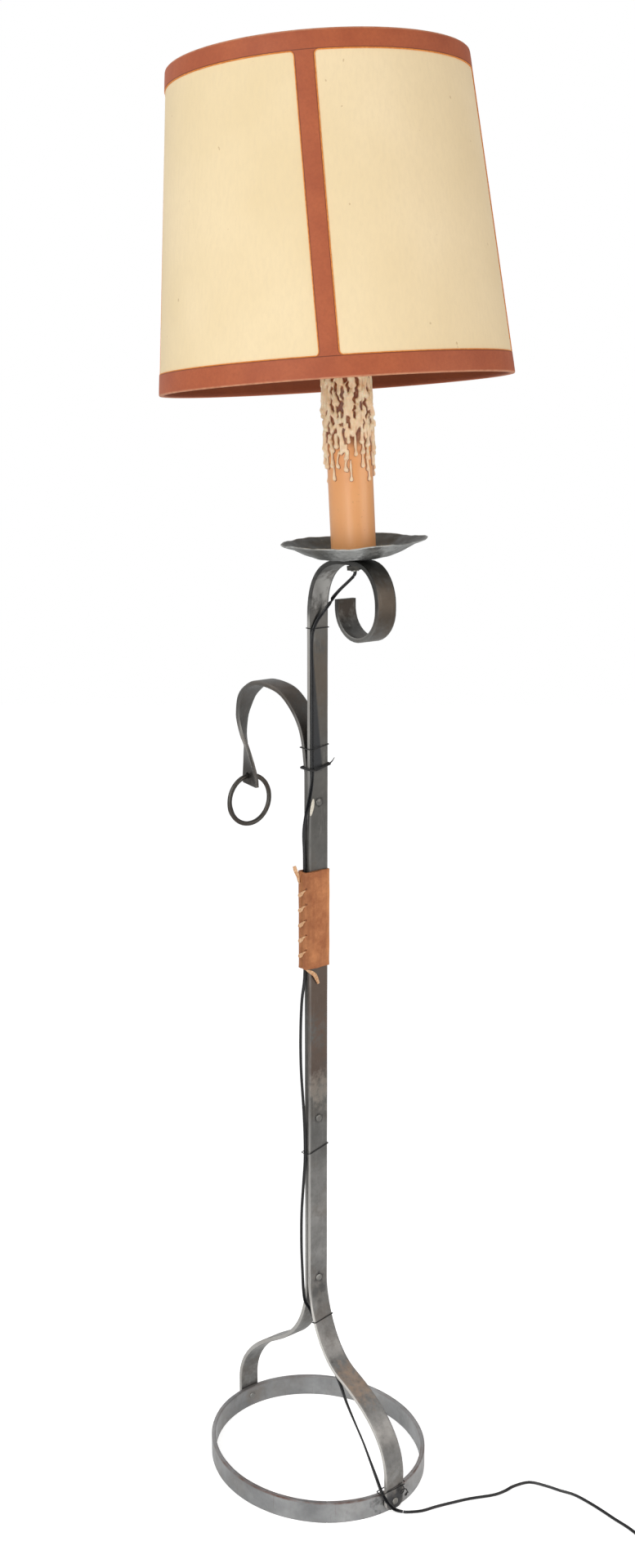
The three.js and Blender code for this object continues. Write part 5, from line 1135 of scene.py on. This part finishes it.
CANDLE = candle_finish()
LOW, TOP, R, BORE, STAIN_AND_SHADE_FROM = 3.1, 213.1, 27.7, 25, 134
profile = [(BORE, LOW), (R - 0.4, LOW), (R, LOW + 0.4), *((R, z) for z in np.linspace(LOW + 6, TOP - 1, 30)),
           (R - 0.4, TOP), (BORE, TOP)]
candle = turned("waxed_candle_sleeve", profile, 72, in_dish, CANDLE, "candle_sleeve")
mark_points(candle, "under_wax", [clip((z - STAIN_AND_SHADE_FROM) / 12) for _, z in profile])
collar = [(24, 2.84), (R + 0.2, 2.84), (R + 0.2, 3.05), (24, 3.05)]
turned("torn_card_edge", collar, 90, in_dish, CANDLE, bend=torn)
print("candle", TOP - LOW, "mm tall")

# %% [markdown]
# The wax is the richest surface. It is a height map round the candle. Above, it is a lumpy sheet
# with staggered upright gaps, where the card shows, stained and painted in shade. Below, the sheet
# breaks up into drips with rounded, swollen ends. Everything comes from two seeded draws, so every
# run is the same.

# %% The wax runs
WAX_LOW, WAX_TOP, WAX_BORE, WAX_MIDDLE, THICKEST = 90, 219.5, 25.2, 30, 5.8
SHORT_DRIPS = 26
DRIP_ROWS = (
    (17, (146, 166), (130, 146), (2.2, 3.2), (3.6, 4.8)),
    (19, (136, 150), (117, 133), (1.9, 2.7), (3.4, 4.6)),
    (16, (124, 136), (107, 119), (1.7, 2.4), (3.0, 4.0)),
    (7, (118, 130), (94, 105), (1.7, 2.1), (2.6, 3.2)),
    (SHORT_DRIPS, (165, 219), (145, 200), (1.8, 2.8), (4.8, 6.0)),
)


def wax_gaps():
    """(turn, height, half width, half height, lean) of each gap in the sheet, in mm and radians."""
    draw = np.random.default_rng(7).uniform
    for row, level in enumerate(np.arange(141, 222, 7.6)):
        for i in range(11):
            turn = 2 * pi * (i + 0.5 * (row % 2) + draw(-0.3, 0.3)) / 11
            yield turn, level + draw(-3.5, 3.5), draw(1.3, 3.2), draw(3, 9), draw(-0.22, 0.22)


def wax_drips():
    """(turn, top, end, half width, thickness, sway, phase) of each drip; the last row's are short."""
    draw = np.random.default_rng(23).uniform
    for count, tops, ends, widths, thicks in DRIP_ROWS:
        for i in range(count):
            turn = 2 * pi * (i + draw(-0.42, 0.42)) / count
            top, end = draw(*tops), draw(*ends)
            if count == SHORT_DRIPS:
                end = top - draw(6, 26)
            yield turn, top, min(end, top - 3), draw(*widths), draw(*thicks), draw(0.3, 1.5), draw(0, 6.28)


def wax_field(turns, heights):
    """How far the wax stands out from the candle, in mm; -0.9 where there is none."""
    turn, height = np.meshgrid(turns, heights, indexing="ij")
    aside_of = lambda path: ((turn - path + pi) % (2 * pi) - pi) * WAX_MIDDLE
    lumps = 0.55 * np.sin(22 * turn + 1.6 * np.sin(height * 0.085))
    lumps += 0.4 * np.sin(37 * turn + 2.2 * np.sin(height * 0.13 + 1))
    lumps += 0.5 * np.sin(7 * turn + 0.11 * height) * np.sin(0.17 * height + 3 * turn)
    edge = 148 + 6 * np.sin(5 * turn + 1) + 4 * np.sin(12 * turn + 2)
    sheet = (2.7 + lumps) * np.clip((height - edge) / 5, 0, 1)
    for place, level, wide, tall, lean in wax_gaps():
        bend = 0.9 * np.sin(height * 0.42 + place * 5) + 0.5 * np.sin(height * 0.9 + place * 9)
        away = np.hypot((aside_of(place) - lean * (height - level) - bend) / wide, (height - level) / tall)
        share = np.clip((away - 0.7) / 0.6, 0, 1)
        sheet *= share * share * (3 - 2 * share)
    total = np.clip(sheet, 0, None) ** 5
    for place, top, end, wide, thick, sway, phase in wax_drips():
        path = place + sway * (np.sin(height * 0.11 + phase) + 0.5 * np.sin(height * 0.23 + 2 * phase)) / 27
        below, above = np.maximum(end - height, 0), np.maximum(height - top, 0)
        swell = 0.74 + 0.62 * np.exp(-(((height - end - 1.2) / 3.0) ** 2))
        swell += 0.14 * np.sin(height * 0.35 + 3 * phase)
        away = np.sqrt(aside_of(path) ** 2 + below**2 + above**2) / (wide * swell)
        total += (thick * (0.5 + 0.5 * swell) * np.sqrt(np.clip(1 - away**2, 0, 1))) ** 5
    return np.minimum(total**0.2, THICKEST) - 0.9 * (total <= 0)


def softened(field):
    """One gentle pass that rounds the creases, round the candle and up it."""
    side = (np.roll(field, 1, 0) + np.roll(field, -1, 0)) / 2
    up_down = field.copy()
    up_down[:, 1:-1] = (field[:, :-2] + field[:, 2:]) / 2
    return 0.5 * field + 0.25 * side + 0.25 * up_down


def wax_finish():
    made = Finish("cream_wax", "wax", 0.4, Subsurface_Weight=0.12, Subsurface_Scale=0.003)
    # where the wax is thin, at drip edges and round gaps, it turns brown: partly the card showing through,
    # partly painted shade
    deep = made.share(None, (0.05, 0.46), "wax_depth")
    made.start((248, 212, 172), (255, 236, 206), (70, 4))
    made.base = made.mixed(deep, (138, 68, 30), made.base)
    return made.done(((320, 3), 0.00012))


turns, heights = np.linspace(0, 2 * pi, 400, endpoint=False), np.linspace(WAX_LOW, WAX_TOP, 230)
field = softened(softened(wax_field(turns, heights)))
verts, depth = [], []
for turn, row in zip(turns, field):
    column = [(R + 0.05 + out, z) for out, z in zip(row, heights)]
    column += [(WAX_BORE, WAX_TOP), (WAX_BORE, WAX_LOW)]
    verts += [in_dish(r * cos(turn), r * sin(turn), z) for r, z in column]
    depth += [clip(out / 4.4) for out in row] + [0.6, 0.6]
faces = ring_faces(len(turns), len(heights) + 2, True)
wax = mesh_piece("run_wax", verts, faces, wax_finish(), "wax_drips", sharp=radians(80))
mark_points(wax, "wax_depth", depth)
print(wax.name, len(verts), "points")

# %% [markdown]
# The lamp holder is black moulded plastic: a cap on the rod, a shell screwed to it, and two ribbed
# ring nuts that clamp the shade's hub. Inside are a white insulator, a brass screw shell and the
# cap of the bulb. Small pieces with the right shape stay as they are and only get a finish.

# %% Holder finishes
def plastic_finish(name, slot, first, second, roughness):
    return two_tone(name, slot, roughness, first, second, (50, 3), (0.35, 0.7), ((500, 2), 0.00006))


def metal_finish(name, slot, first, second, roughness):
    satin = ((140, 3), (0.3, 0.7, roughness * 0.75, roughness * 1.3))
    return two_tone(name, slot, roughness, first, second, (80, 4), (0.35, 0.7), ((700, 2), 0.00004),
                    rough=satin, metallic=1.0)


BLACK_PLASTIC = plastic_finish("black_moulding", "black_plastic", (20, 20, 21), (34, 34, 36), 0.42)
PORCELAIN = plastic_finish("white_glaze", "", (222, 218, 208), (236, 233, 226), 0.18)
PLATED = metal_finish("dull_plating", "", (122, 122, 118), (168, 168, 164), 0.42)
DARK_PLATED = metal_finish("dark_plating", "", (62, 61, 58), (96, 94, 90), 0.5)
BRASS = metal_finish("sheet_brass", "brass", (176, 142, 80), (206, 176, 112), 0.3)


def dress(finish, *nodes):
    """Gives pieces of the model that keep their own shape a new finish."""
    for node in nodes:
        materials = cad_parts[node].data.materials
        materials.clear()
        materials.append(finish)


dress(PLATED, "threaded_rod", "dish_nut", "dish_washer", "plug_pin_left", "plug_pin_right")
dress(DARK_PLATED, "arch_nut")
dress(PORCELAIN, "holder_insulator")
dress(BRASS, "centre_contact", "switch_contacts", "screw_shell")
dress(BLACK_PLASTIC, "plug_strain_relief", "coil_tie")
print("plain pieces dressed")

# %% The holder and its ring nuts
cap = [(5.3, -1.8), (8.2, -1.8), (8.9, -1.2), (8.9, 1.4), (9.6, 2), (15.6, 5.2), (17.4, 6.8), (18.5, 9.2),
       (18.5, 15.6), (18.1, 16), (16.7, 16), (16.7, 9.2), (14.9, 7.2), (5.3, 3.6)]
turned("moulded_holder_cap", cap, 64, in_holder, BLACK_PLASTIC, "holder_cap")
shell, GROOVE_LOW, GROOVE_PITCH = [(14.9, 16.3), (18.1, 16.3), (18.5, 16.7)], 19, 2.6
for groove in range(6):
    z = GROOVE_LOW + groove * GROOVE_PITCH
    shell += [(18.5, z), (18.0, z + 0.6), (18.0, z + 1.2), (18.5, z + 1.8)]
shell += [(18.5, 56.4), (17.9, 57.3), (16.7, 57.3), (16.7, 17.3), (14.9, 17.3)]
turned("moulded_holder_shell", shell, 64, in_holder, BLACK_PLASTIC, "holder_shell")
HUB = 27.7
NUT = [(18.8, 0.4), (19.2, 0), (25.2, 0), (26, 0.8), (26, 6.2), (25.2, 7), (19.2, 7), (18.8, 6.6)]
ribbed = lambda turn, r, z: (r - 0.8 * max(0, cos(turn * 18)) ** 3 * (r > 24), z)
for name, low in (("ring_nut_lower", HUB - 7.3), ("ring_nut_upper", HUB + 2.3)):
    turned("ribbed_" + name, [(r, low + z) for r, z in NUT], 144, in_holder, BLACK_PLASTIC, name, bend=ribbed)
print("holder made")

# %% [markdown]
# The bulb is an ordinary frosted one. Its glass is a thin shell that scatters light, and its cap is
# rolled brass with round threads.

# %% The bulb
GLASS = two_tone("frosted_glass", "bulb_glass", 0.35, (238, 236, 230), (248, 247, 243), (60, 2), (0.3, 0.7),
                 Transmission_Weight=0.35, IOR=1.45)
BULB_FOOT, GLASS_RADIUS, GLASS_HEIGHT = 26.7, 30, 81
glass_low = BULB_FOOT + 24.3
shares = through([(0.42, 0), (0.43, 0.1), (0.6, 0.24), (0.86, 0.42), (1, 0.62), (0.93, 0.8), (0.7, 0.93),
                  (0.36, 0.99), (0.002, 1)], 5)
glass = [(max(r, 0.0005) * GLASS_RADIUS, glass_low + h * GLASS_HEIGHT) for r, h in shares]
turned("frosted_bulb_glass", [(0.01, glass_low)] + glass, 64, in_holder, GLASS, "bulb_glass")
threads = [(12.8 + 0.3 * cos(step / 40 * 5 * 2 * pi), 2.5 + step * 0.42) for step in range(41)]
cap = [(0.01, 0), (3, 0), (11.4, 1.8), *threads, (13.1, 21), (13.1, 24), (0.01, 24)]
turned("rolled_bulb_cap", [(r, BULB_FOOT + z) for r, z in cap], 48, in_holder, BRASS, "bulb_cap")
print("bulb stands", round(glass_low + GLASS_HEIGHT, 1), "mm above the holder's foot")

# %% [markdown]
# The shade is cream paper card between leather-like trims. Every sheet lies a little inside the
# cone through the trims' outer faces. The radius at a height, and a place on that cone, are needed
# for all its pieces.

# %% The shade's cone
SHADE_HEIGHT, SHADE_LOW_RADIUS, SHADE_TOP_RADIUS = 364.7, 214, 177.4
FIRST_STRIP, QUARTER, PANEL_GAP = radians(-93.6), pi / 2, 0.0009
TRIM, PANEL_IN, PANEL_EDGE = 0.9, 1.2, 1.2


def cone_radius(height):
    return SHADE_LOW_RADIUS + (SHADE_TOP_RADIUS - SHADE_LOW_RADIUS) * height / SHADE_HEIGHT


def cone(turn, height, depth=0.0):
    """A place on the shade's outer cone, or a depth in mm inside it."""
    radius = cone_radius(height) - depth
    return in_shade(radius * cos(turn), radius * sin(turn), height)


def card_finish():
    made = Finish("cream_card", "parchment", 0.8, Sheen_Weight=0.08)
    made.start((241, 218, 174), (249, 227, 186), (7, 3, 0.5), (0.3, 0.7))
    made.paint((231, 209, 170), (240, 4, 0.7, (1, 1, 0.35)), (0.4, 0.7, 0, 0.3))
    made.paint((196, 160, 110), (95, 1), (0.775, 0.79, 0, 0.5))
    return made.done(((900, 3), 0.00008))


CARD = card_finish()
levels = list(np.linspace(PANEL_EDGE, SHADE_HEIGHT - PANEL_EDGE, 9))
sheet = [(z, PANEL_IN) for z in levels] + [(z, PANEL_IN + 1) for z in levels[::-1]]
for index in range(4):
    start = FIRST_STRIP + index * QUARTER + PANEL_GAP
    turns = [start + (QUARTER - 2 * PANEL_GAP) * i / 40 for i in range(41)]
    rings = [[cone(turn, z, depth) for z, depth in sheet] for turn in turns]
    skin(f"card_panel_{index + 1}", rings, CARD, f"shade_panel_{index + 1}", "shade")
print("four card panels")

# %% [markdown]
# The trims are strips of reddish brown leather cloth, folded over the shade's edges. Their profile
# goes down the outside, round the wire ring and back up inside. The fold is paler. The trim's edge
# where it lies on the card, and what the card hides, from the tenth point of the profile on, are
# painted in shade.

# %% The trims
def trim_finish():
    made = Finish("red_brown_trim", "shade_trim", 0.62)
    made.start((168, 82, 46), (182, 94, 54), (24, 4), (0.35, 0.68))
    made.paint((140, 66, 38), (300, 4, 0.7), (0.4, 0.72, 0, 0.35))
    made.paint((216, 156, 120), (120, 3), (0.3, 0.6, 0.35, 0.85), "edge")
    made.paint((84, 36, 20), mark="shadow")
    return made.done(((700, 3, 0.7), 0.00012))


HIDDEN_FROM = 10


def trim_profile(height):
    """(depth, height, mark) round a trim's section: outside, fold, wire, and back up inside."""
    outside = [(0.25, height, 0), (0, height - 0.5, 0), (0, height - 1.2, 0), (-0.1, height * 0.5, 0),
               (0, 2.2, 0), (0.25, 0.7, 0.9), (0.9, 0, 1)]
    under = [(3, -0.1, 0.9), (5.4, 0, 0.6), (6.3, 0.6, 0.2), (6.5, 2, 0), (6.4, 5.2, 0)]
    inside = [(3.5, 8.6, 0), (3.4, height, 0), (2.5, height, 0), (2.5, 8.2, 0), (5.4, 5, 0), (5.6, 1.1, 0)]
    return outside + under + inside + [(1.1, 1.0, 0), (0.9, 2.2, 0), (0.9, height, 0)]


def trim_band(name, height, upper):
    profile = trim_profile(height)
    rings = []
    for i in range(180):
        turn = FIRST_STRIP + 2 * pi * i / 180
        wobble = 0.35 * noise.noise(Vector((cos(turn) * 3, sin(turn) * 3, 5 if upper else 1)))
        ring = [(z + wobble * (z == height), depth) for depth, z, _ in profile]
        rings.append([cone(turn, SHADE_HEIGHT - z if upper else z, depth) for z, depth in ring])
    piece = skin("folded_" + name, rings, TRIM_CLOTH, name, "shade", closed=True, sharp=radians(50))
    mark_points(piece, "edge", [mark for _, _, mark in profile])
    mark_points(piece, "shadow", [0.7 if z == height or j == 1 else 0.5 if j >= HIDDEN_FROM else 0.0
                                  for j, (_, z, _) in enumerate(profile)])


TRIM_CLOTH = trim_finish()
BOTTOM_TRIM, TOP_TRIM = 24, 21
trim_band("bottom_trim", BOTTOM_TRIM, False)
trim_band("top_trim", TOP_TRIM, True)
print("two trims")

# %% [markdown]
# Four strips cover the joints of the panels. They widen at both ends with a small round fillet, so
# that strip and trims read as one window frame, as in the photograph. A thin orange cord runs round
# each window just inside that frame.

# %% The strips
STRIP_HALF, FILLET = 10.5, 5.5
SKEW_LOW, SKEW_HIGH = radians(1.26), radians(-1.43)
STRIP_LOW, STRIP_HIGH = BOTTOM_TRIM + 0.05, SHADE_HEIGHT - TOP_TRIM - 0.05
ends = [STRIP_LOW + FILLET * (1 - cos(radians(a))) for a in range(0, 91, 15)]
STRIP_LEVELS = ends + list(np.linspace(STRIP_LOW + 20, STRIP_HIGH - 20, 12))
STRIP_LEVELS += [STRIP_LOW + STRIP_HIGH - z for z in ends[::-1]]


def strip_reach(height):
    """Half the strip's width at a height, with a quarter-round fillet at each end."""
    end = FILLET - min(height - STRIP_LOW, STRIP_HIGH - height, FILLET)
    return STRIP_HALF + FILLET - sqrt(max(FILLET**2 - end**2, 0))


def skewed(height):
    """How far the strip is turned aside at a height: it was laid a little askew."""
    return SKEW_LOW + (SKEW_HIGH - SKEW_LOW) * (height - STRIP_LOW) / (STRIP_HIGH - STRIP_LOW)


for index in range(4):
    rings = []
    for z in STRIP_LEVELS:
        reach = strip_reach(z)
        between = np.linspace(-reach + 1.2, reach - 1.2, 5)
        sides = np.array([-reach, -reach + 0.5, *between, reach - 0.5, reach])
        turns = FIRST_STRIP + index * QUARTER + skewed(z) + sides / cone_radius(z)
        outer = [cone(turn, z, 0.0 if abs(x) < reach - 0.3 else 0.25) for turn, x in zip(turns, sides)]
        rings.append(outer + [cone(turn, z, TRIM) for turn in turns[::-1]])
    strip = skin(f"trim_strip_{index + 1}", rings, TRIM_CLOTH, f"shade_strip_{index + 1}", "shade")
    mark_points(strip, "edge", [0.0])
    mark_points(strip, "shadow", [0.7, 0.7, 0, 0, 0, 0, 0, 0.7, 0.7])
print("four strips")

# %% The orange cord round each window
PIPING = thread_finish("orange_piping", (214, 122, 44), (236, 150, 66), 0.7, "shade_trim")
CORD_RADIUS, CORD_GAP = 0.75, 0.5


def window_line(index):
    """Places round one window, a little inside its frame."""
    left = FIRST_STRIP + index * QUARTER
    away = [(skewed(z), (strip_reach(z) + CORD_GAP) / cone_radius(z), z) for z in STRIP_LEVELS]
    up_side = [(left + skew + out, z) for skew, out, z in away]
    down_side = [(left + QUARTER + skew - out, z) for skew, out, z in away[::-1]]
    top = [(t, STRIP_HIGH) for t in np.linspace(up_side[-1][0], down_side[0][0], 44)[1:-1]]
    bottom = [(t, STRIP_LOW) for t in np.linspace(down_side[-1][0], up_side[0][0], 44)[1:-1]]
    line = up_side[1:-1] + top + down_side[1:-1] + bottom
    return [cone(t, min(max(z, STRIP_LOW + CORD_GAP), STRIP_HIGH - CORD_GAP), CORD_RADIUS) for t, z in line]


for index in range(4):
    name = f"window_piping_{index + 1}"
    wire(name, window_line(index), CORD_RADIUS, PIPING, body="shade", sides=6, closed=True)
print("piping round four windows")

# %% [markdown]
# Inside, a white wire frame carries the shade: a ring in the lower trim, three arms and a flat hub
# that the ring nuts clamp, and a second ring in the upper trim.

# %% The shade's wire frame
WIRE_PAINT = two_tone("white_wire", "painted_wire", 0.4, (226, 222, 212), (190, 182, 166), (90, 3),
                      (0.5, 0.75), ((400, 2), 0.00006))
WIRE_IN, WIRE_UP, HOOP_RADIUS, ARM_RADIUS = 4.0, 2.7, 1.5, 1.75
for name, z, node in (
    ("upper_wire_ring", SHADE_HEIGHT - WIRE_UP, "top_wire"),
    ("lower_wire_ring", WIRE_UP, ""),
):
    hoop = [cone(turn, z, WIRE_IN) for turn in turns_of(144)]
    wire(name, hoop, HOOP_RADIUS, WIRE_PAINT, node, "shade", closed=True)
rim = cone_radius(WIRE_UP) - WIRE_IN
for arm in (1, 2, 3):
    turn = radians(120 * arm - 30)
    points = [(rim, WIRE_UP), (rim - 7, WIRE_UP + ARM_RADIUS), (120, 18.5), (36, 33.25), (27.25, 36)]
    line = smooth([in_shade(r * cos(turn), r * sin(turn), z) for r, z in points], 8)
    wire(f"wire_arm_{arm}", line, ARM_RADIUS, WIRE_PAINT, body="shade", sides=10)
hub = [(19.1, 35.3), (19.4, 35), (30.4, 35), (30.75, 35.4), (30.75, 36.6), (30.4, 37), (19.4, 37),
       (19.1, 36.7)]
turned("flat_hub", hub, 64, in_shade, WIRE_PAINT, "shade_carrier", "shade")
print("hub, three arms and two rings")

# %% [markdown]
# The switch and plug are plain black mouldings with rounded edges. A flat outline is swept up in
# steps that draw in at the top and bottom, which rounds the edges without a modifier.

# %% A moulded block
def block_rings(where, half_x, half_y, radius, levels):
    """Rings of a rounded oblong; levels are (height, inset) from bottom to top."""
    rings = []
    for z, inset in levels:
        r = max(radius - inset, 0.3)
        ring = []
        for sx, sy, first in CORNERS:
            turns = [radians(first + 15 * i) for i in range(7)]
            x, y = sx * (half_x - inset - r), sy * (half_y - inset - r)
            ring += [where(x + r * cos(a), y + r * sin(a), z) for a in turns]
        rings.append(ring)
    return rings


SWITCH_BLOCK, WINDOW, PLUG_BLOCK = (30, 13, 6), (8.7, 5.3, 0.8), (17.5, 13, 6)
by_switch = lambda x, y, z: by_pole(SWITCH_X + SWITCH_LENGTH / 2 + x, SWITCH_Y + y, z)
rings = block_rings(by_switch, *SWITCH_BLOCK, [(0, 1.2), (0.4, 0.4), (1.4, 0), (7, 0), (7, 1.8), (1.8, 1.8)])
skin("moulded_switch_base", rings, BLACK_PLASTIC, "switch_base")
rings = block_rings(by_switch, *SWITCH_BLOCK, [(7.3, 1.8), (12.9, 1.8)])
rings += block_rings(by_switch, *WINDOW, [(12.9, 0), (14.8, 0)])
rings += block_rings(by_switch, *SWITCH_BLOCK, [(14.8, 3), (14.6, 1.6), (13.8, 0.5), (12.4, 0), (7.3, 0)])
skin("moulded_switch_cover", rings, BLACK_PLASTIC, "switch_cover", closed=True)
print("switch housing")

# %% The rocker
TILT, AXLE = radians(8), 9.6


def by_rocker(x, y, z):
    return by_switch(x * cos(TILT) - z * sin(TILT), y, AXLE + x * sin(TILT) + z * cos(TILT))


top = [(x, 6.2 + abs(x) * tan(TILT)) for x in np.linspace(-7.5, 7.5, 15)]
outline = top + [(7.5, 5.2), (2.8, -1.4), (-2.8, -1.4), (-7.5, 5.2)]
rings = [[by_rocker(x * k, y, z * (0.97 if k < 1 else 1)) for x, z in outline]
         for y, k in ((-5, 0.96), (-4.6, 1), (0, 1), (4.6, 1), (5, 0.96))]
skin("two_way_rocker", rings, BLACK_PLASTIC, "switch_rocker", "rocker")
print("rocker")

# %% [markdown]
# The plug has a flat body with rounded edges, a ribbed strain relief and two round pins. Only its
# body is made anew.

# %% The plug
PLUG_MIDDLE = PLUG_X - 22
by_plug = lambda x, y, z: by_pole(PLUG_MIDDLE - x, PLUG_Y - y, z)
levels = [(0, 3), (0.4, 1.6), (1.6, 0.4), (3, 0), (10.7, 0), (12.1, 0.4), (13.3, 1.6), (13.7, 3)]
skin("moulded_plug_body", block_rings(by_plug, *PLUG_BLOCK, levels), BLACK_PLASTIC, "plug_body")

# %% The lead's points and length
[tuple(p) for p in lead_line]
print("cord of", round(lead_length, 3), "m")

# %% [markdown]
# Last come the light and the background. The photograph is a cut-out on white, lit softly from the
# front and left. So the world is an even grey-white, with one large cool light in front, a low one
# that reaches the candle under the shade, and a weak warm one from the right. Camera rays see the
# world as white. The iron reflects a room that is bright on the left and above and dark on the right,
# and a floor that is bright near the lamp.

# %% Light
WHITE, GREY_WHITE = (1, 1, 1, 1), (0.62, 0.62, 0.62, 1)
ROOM_DARK, ROOM_BRIGHT = 0.3, 1.0
BRIGHT_SIDE = Vector((-0.8, -0.25, 0.55)).normalized()
world = bpy.data.worlds.new("studio")
bpy.context.scene.world = world
world.use_nodes = True
tree = world.node_tree
surround = tree.nodes["Background"]
surround.inputs["Color"].default_value, surround.inputs["Strength"].default_value = GREY_WHITE, 0.72
backdrop = add_node(tree, "Background", {"Color": WHITE, "Strength": 1})
rays = tree.nodes.new("ShaderNodeLightPath").outputs
seen_white = add_node(tree, "Math", {0: rays["Is Camera Ray"], 1: rays["Is Transmission Ray"]},
                      operation="MAXIMUM")
direction = add_node(tree, "TexCoord", {}, "Generated")
toward = add_node(tree, "VectorMath", {0: direction, 1: BRIGHT_SIDE}, "Value", operation="DOT_PRODUCT")
brightness = ramp(tree, toward, -0.75, 0.7, ROOM_DARK, ROOM_BRIGHT)
room = add_node(tree, "Background", {"Color": WHITE, "Strength": brightness})
reflected = add_node(tree, "MixShader", {0: rays["Is Glossy Ray"], 1: surround.outputs[0], 2: room})
choose = add_node(tree, "MixShader", {0: seen_white, 1: reflected, 2: backdrop})
tree.links.new(choose, tree.nodes["World Output"].inputs["Surface"])
middle = by_pole(0, 0, 950)
for name, place, target, size, power, colour in (
    ("window_light", by_pole(-1500, -1900, 2300), middle, 1.8, 25, (0.99, 1.0, 0.98)),
    ("room_light", by_pole(1900, -900, 1500), middle, 1.4, 13, (1.0, 0.93, 0.87)),
    ("low_light", by_pole(-500, -2000, 900), by_pole(0, 0, 1150), 1.0, 9, (1.0, 0.99, 0.97)),
):
    data = bpy.data.lights.new(name, "AREA")
    data.shape, data.size, data.energy, data.color = "SQUARE", size, power, colour
    placed(name, data, place).rotation_euler = (target - place).to_track_quat("-Z", "Y").to_euler()
bpy.data.lights["room_light"].specular_factor = 0.3
print("three soft lights")

# %% Floor
REACH = 6
mesh = bpy.data.meshes.new("floor")
corners = [(x * REACH, y * REACH, 0) for x, y in ((-1, -1), (1, -1), (1, 1), (-1, 1))]
mesh.from_pydata(corners, [], [(0, 1, 2, 3)])
paper = bpy.data.materials.new("white_paper")
paper.use_nodes = True
tree = paper.node_tree
shader = tree.nodes["Principled BSDF"]
for socket, value in (("Base Color", (0.9, 0.9, 0.9, 1)), ("Roughness", 1), ("Specular IOR Level", 0)):
    shader.inputs[socket].default_value = value
rays = tree.nodes.new("ShaderNodeLightPath").outputs
seen, mirrored = (add_node(tree, "Math", {0: rays[ray], 1: share}, operation="MULTIPLY")
                  for ray, share in (("Is Camera Ray", 0.64), ("Is Glossy Ray", 0.25)))
strength = add_node(tree, "Math", {0: seen, 1: mirrored})
glow = add_node(tree, "Emission", {"Color": WHITE, "Strength": strength})
fill = add_node(tree, "AddShader", {0: shader.outputs["BSDF"], 1: glow})
tree.links.new(fill, tree.nodes["Material Output"].inputs["Surface"])
mesh.materials.append(paper)
floor = placed("floor", mesh)
floor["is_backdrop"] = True

# %% Finish
skin_low, skin_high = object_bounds()
sizes = {"cad": [list(cad_low), list(cad_high)], "dressed": [list(skin_low), list(skin_high)]}
print("size before and after:", sizes)
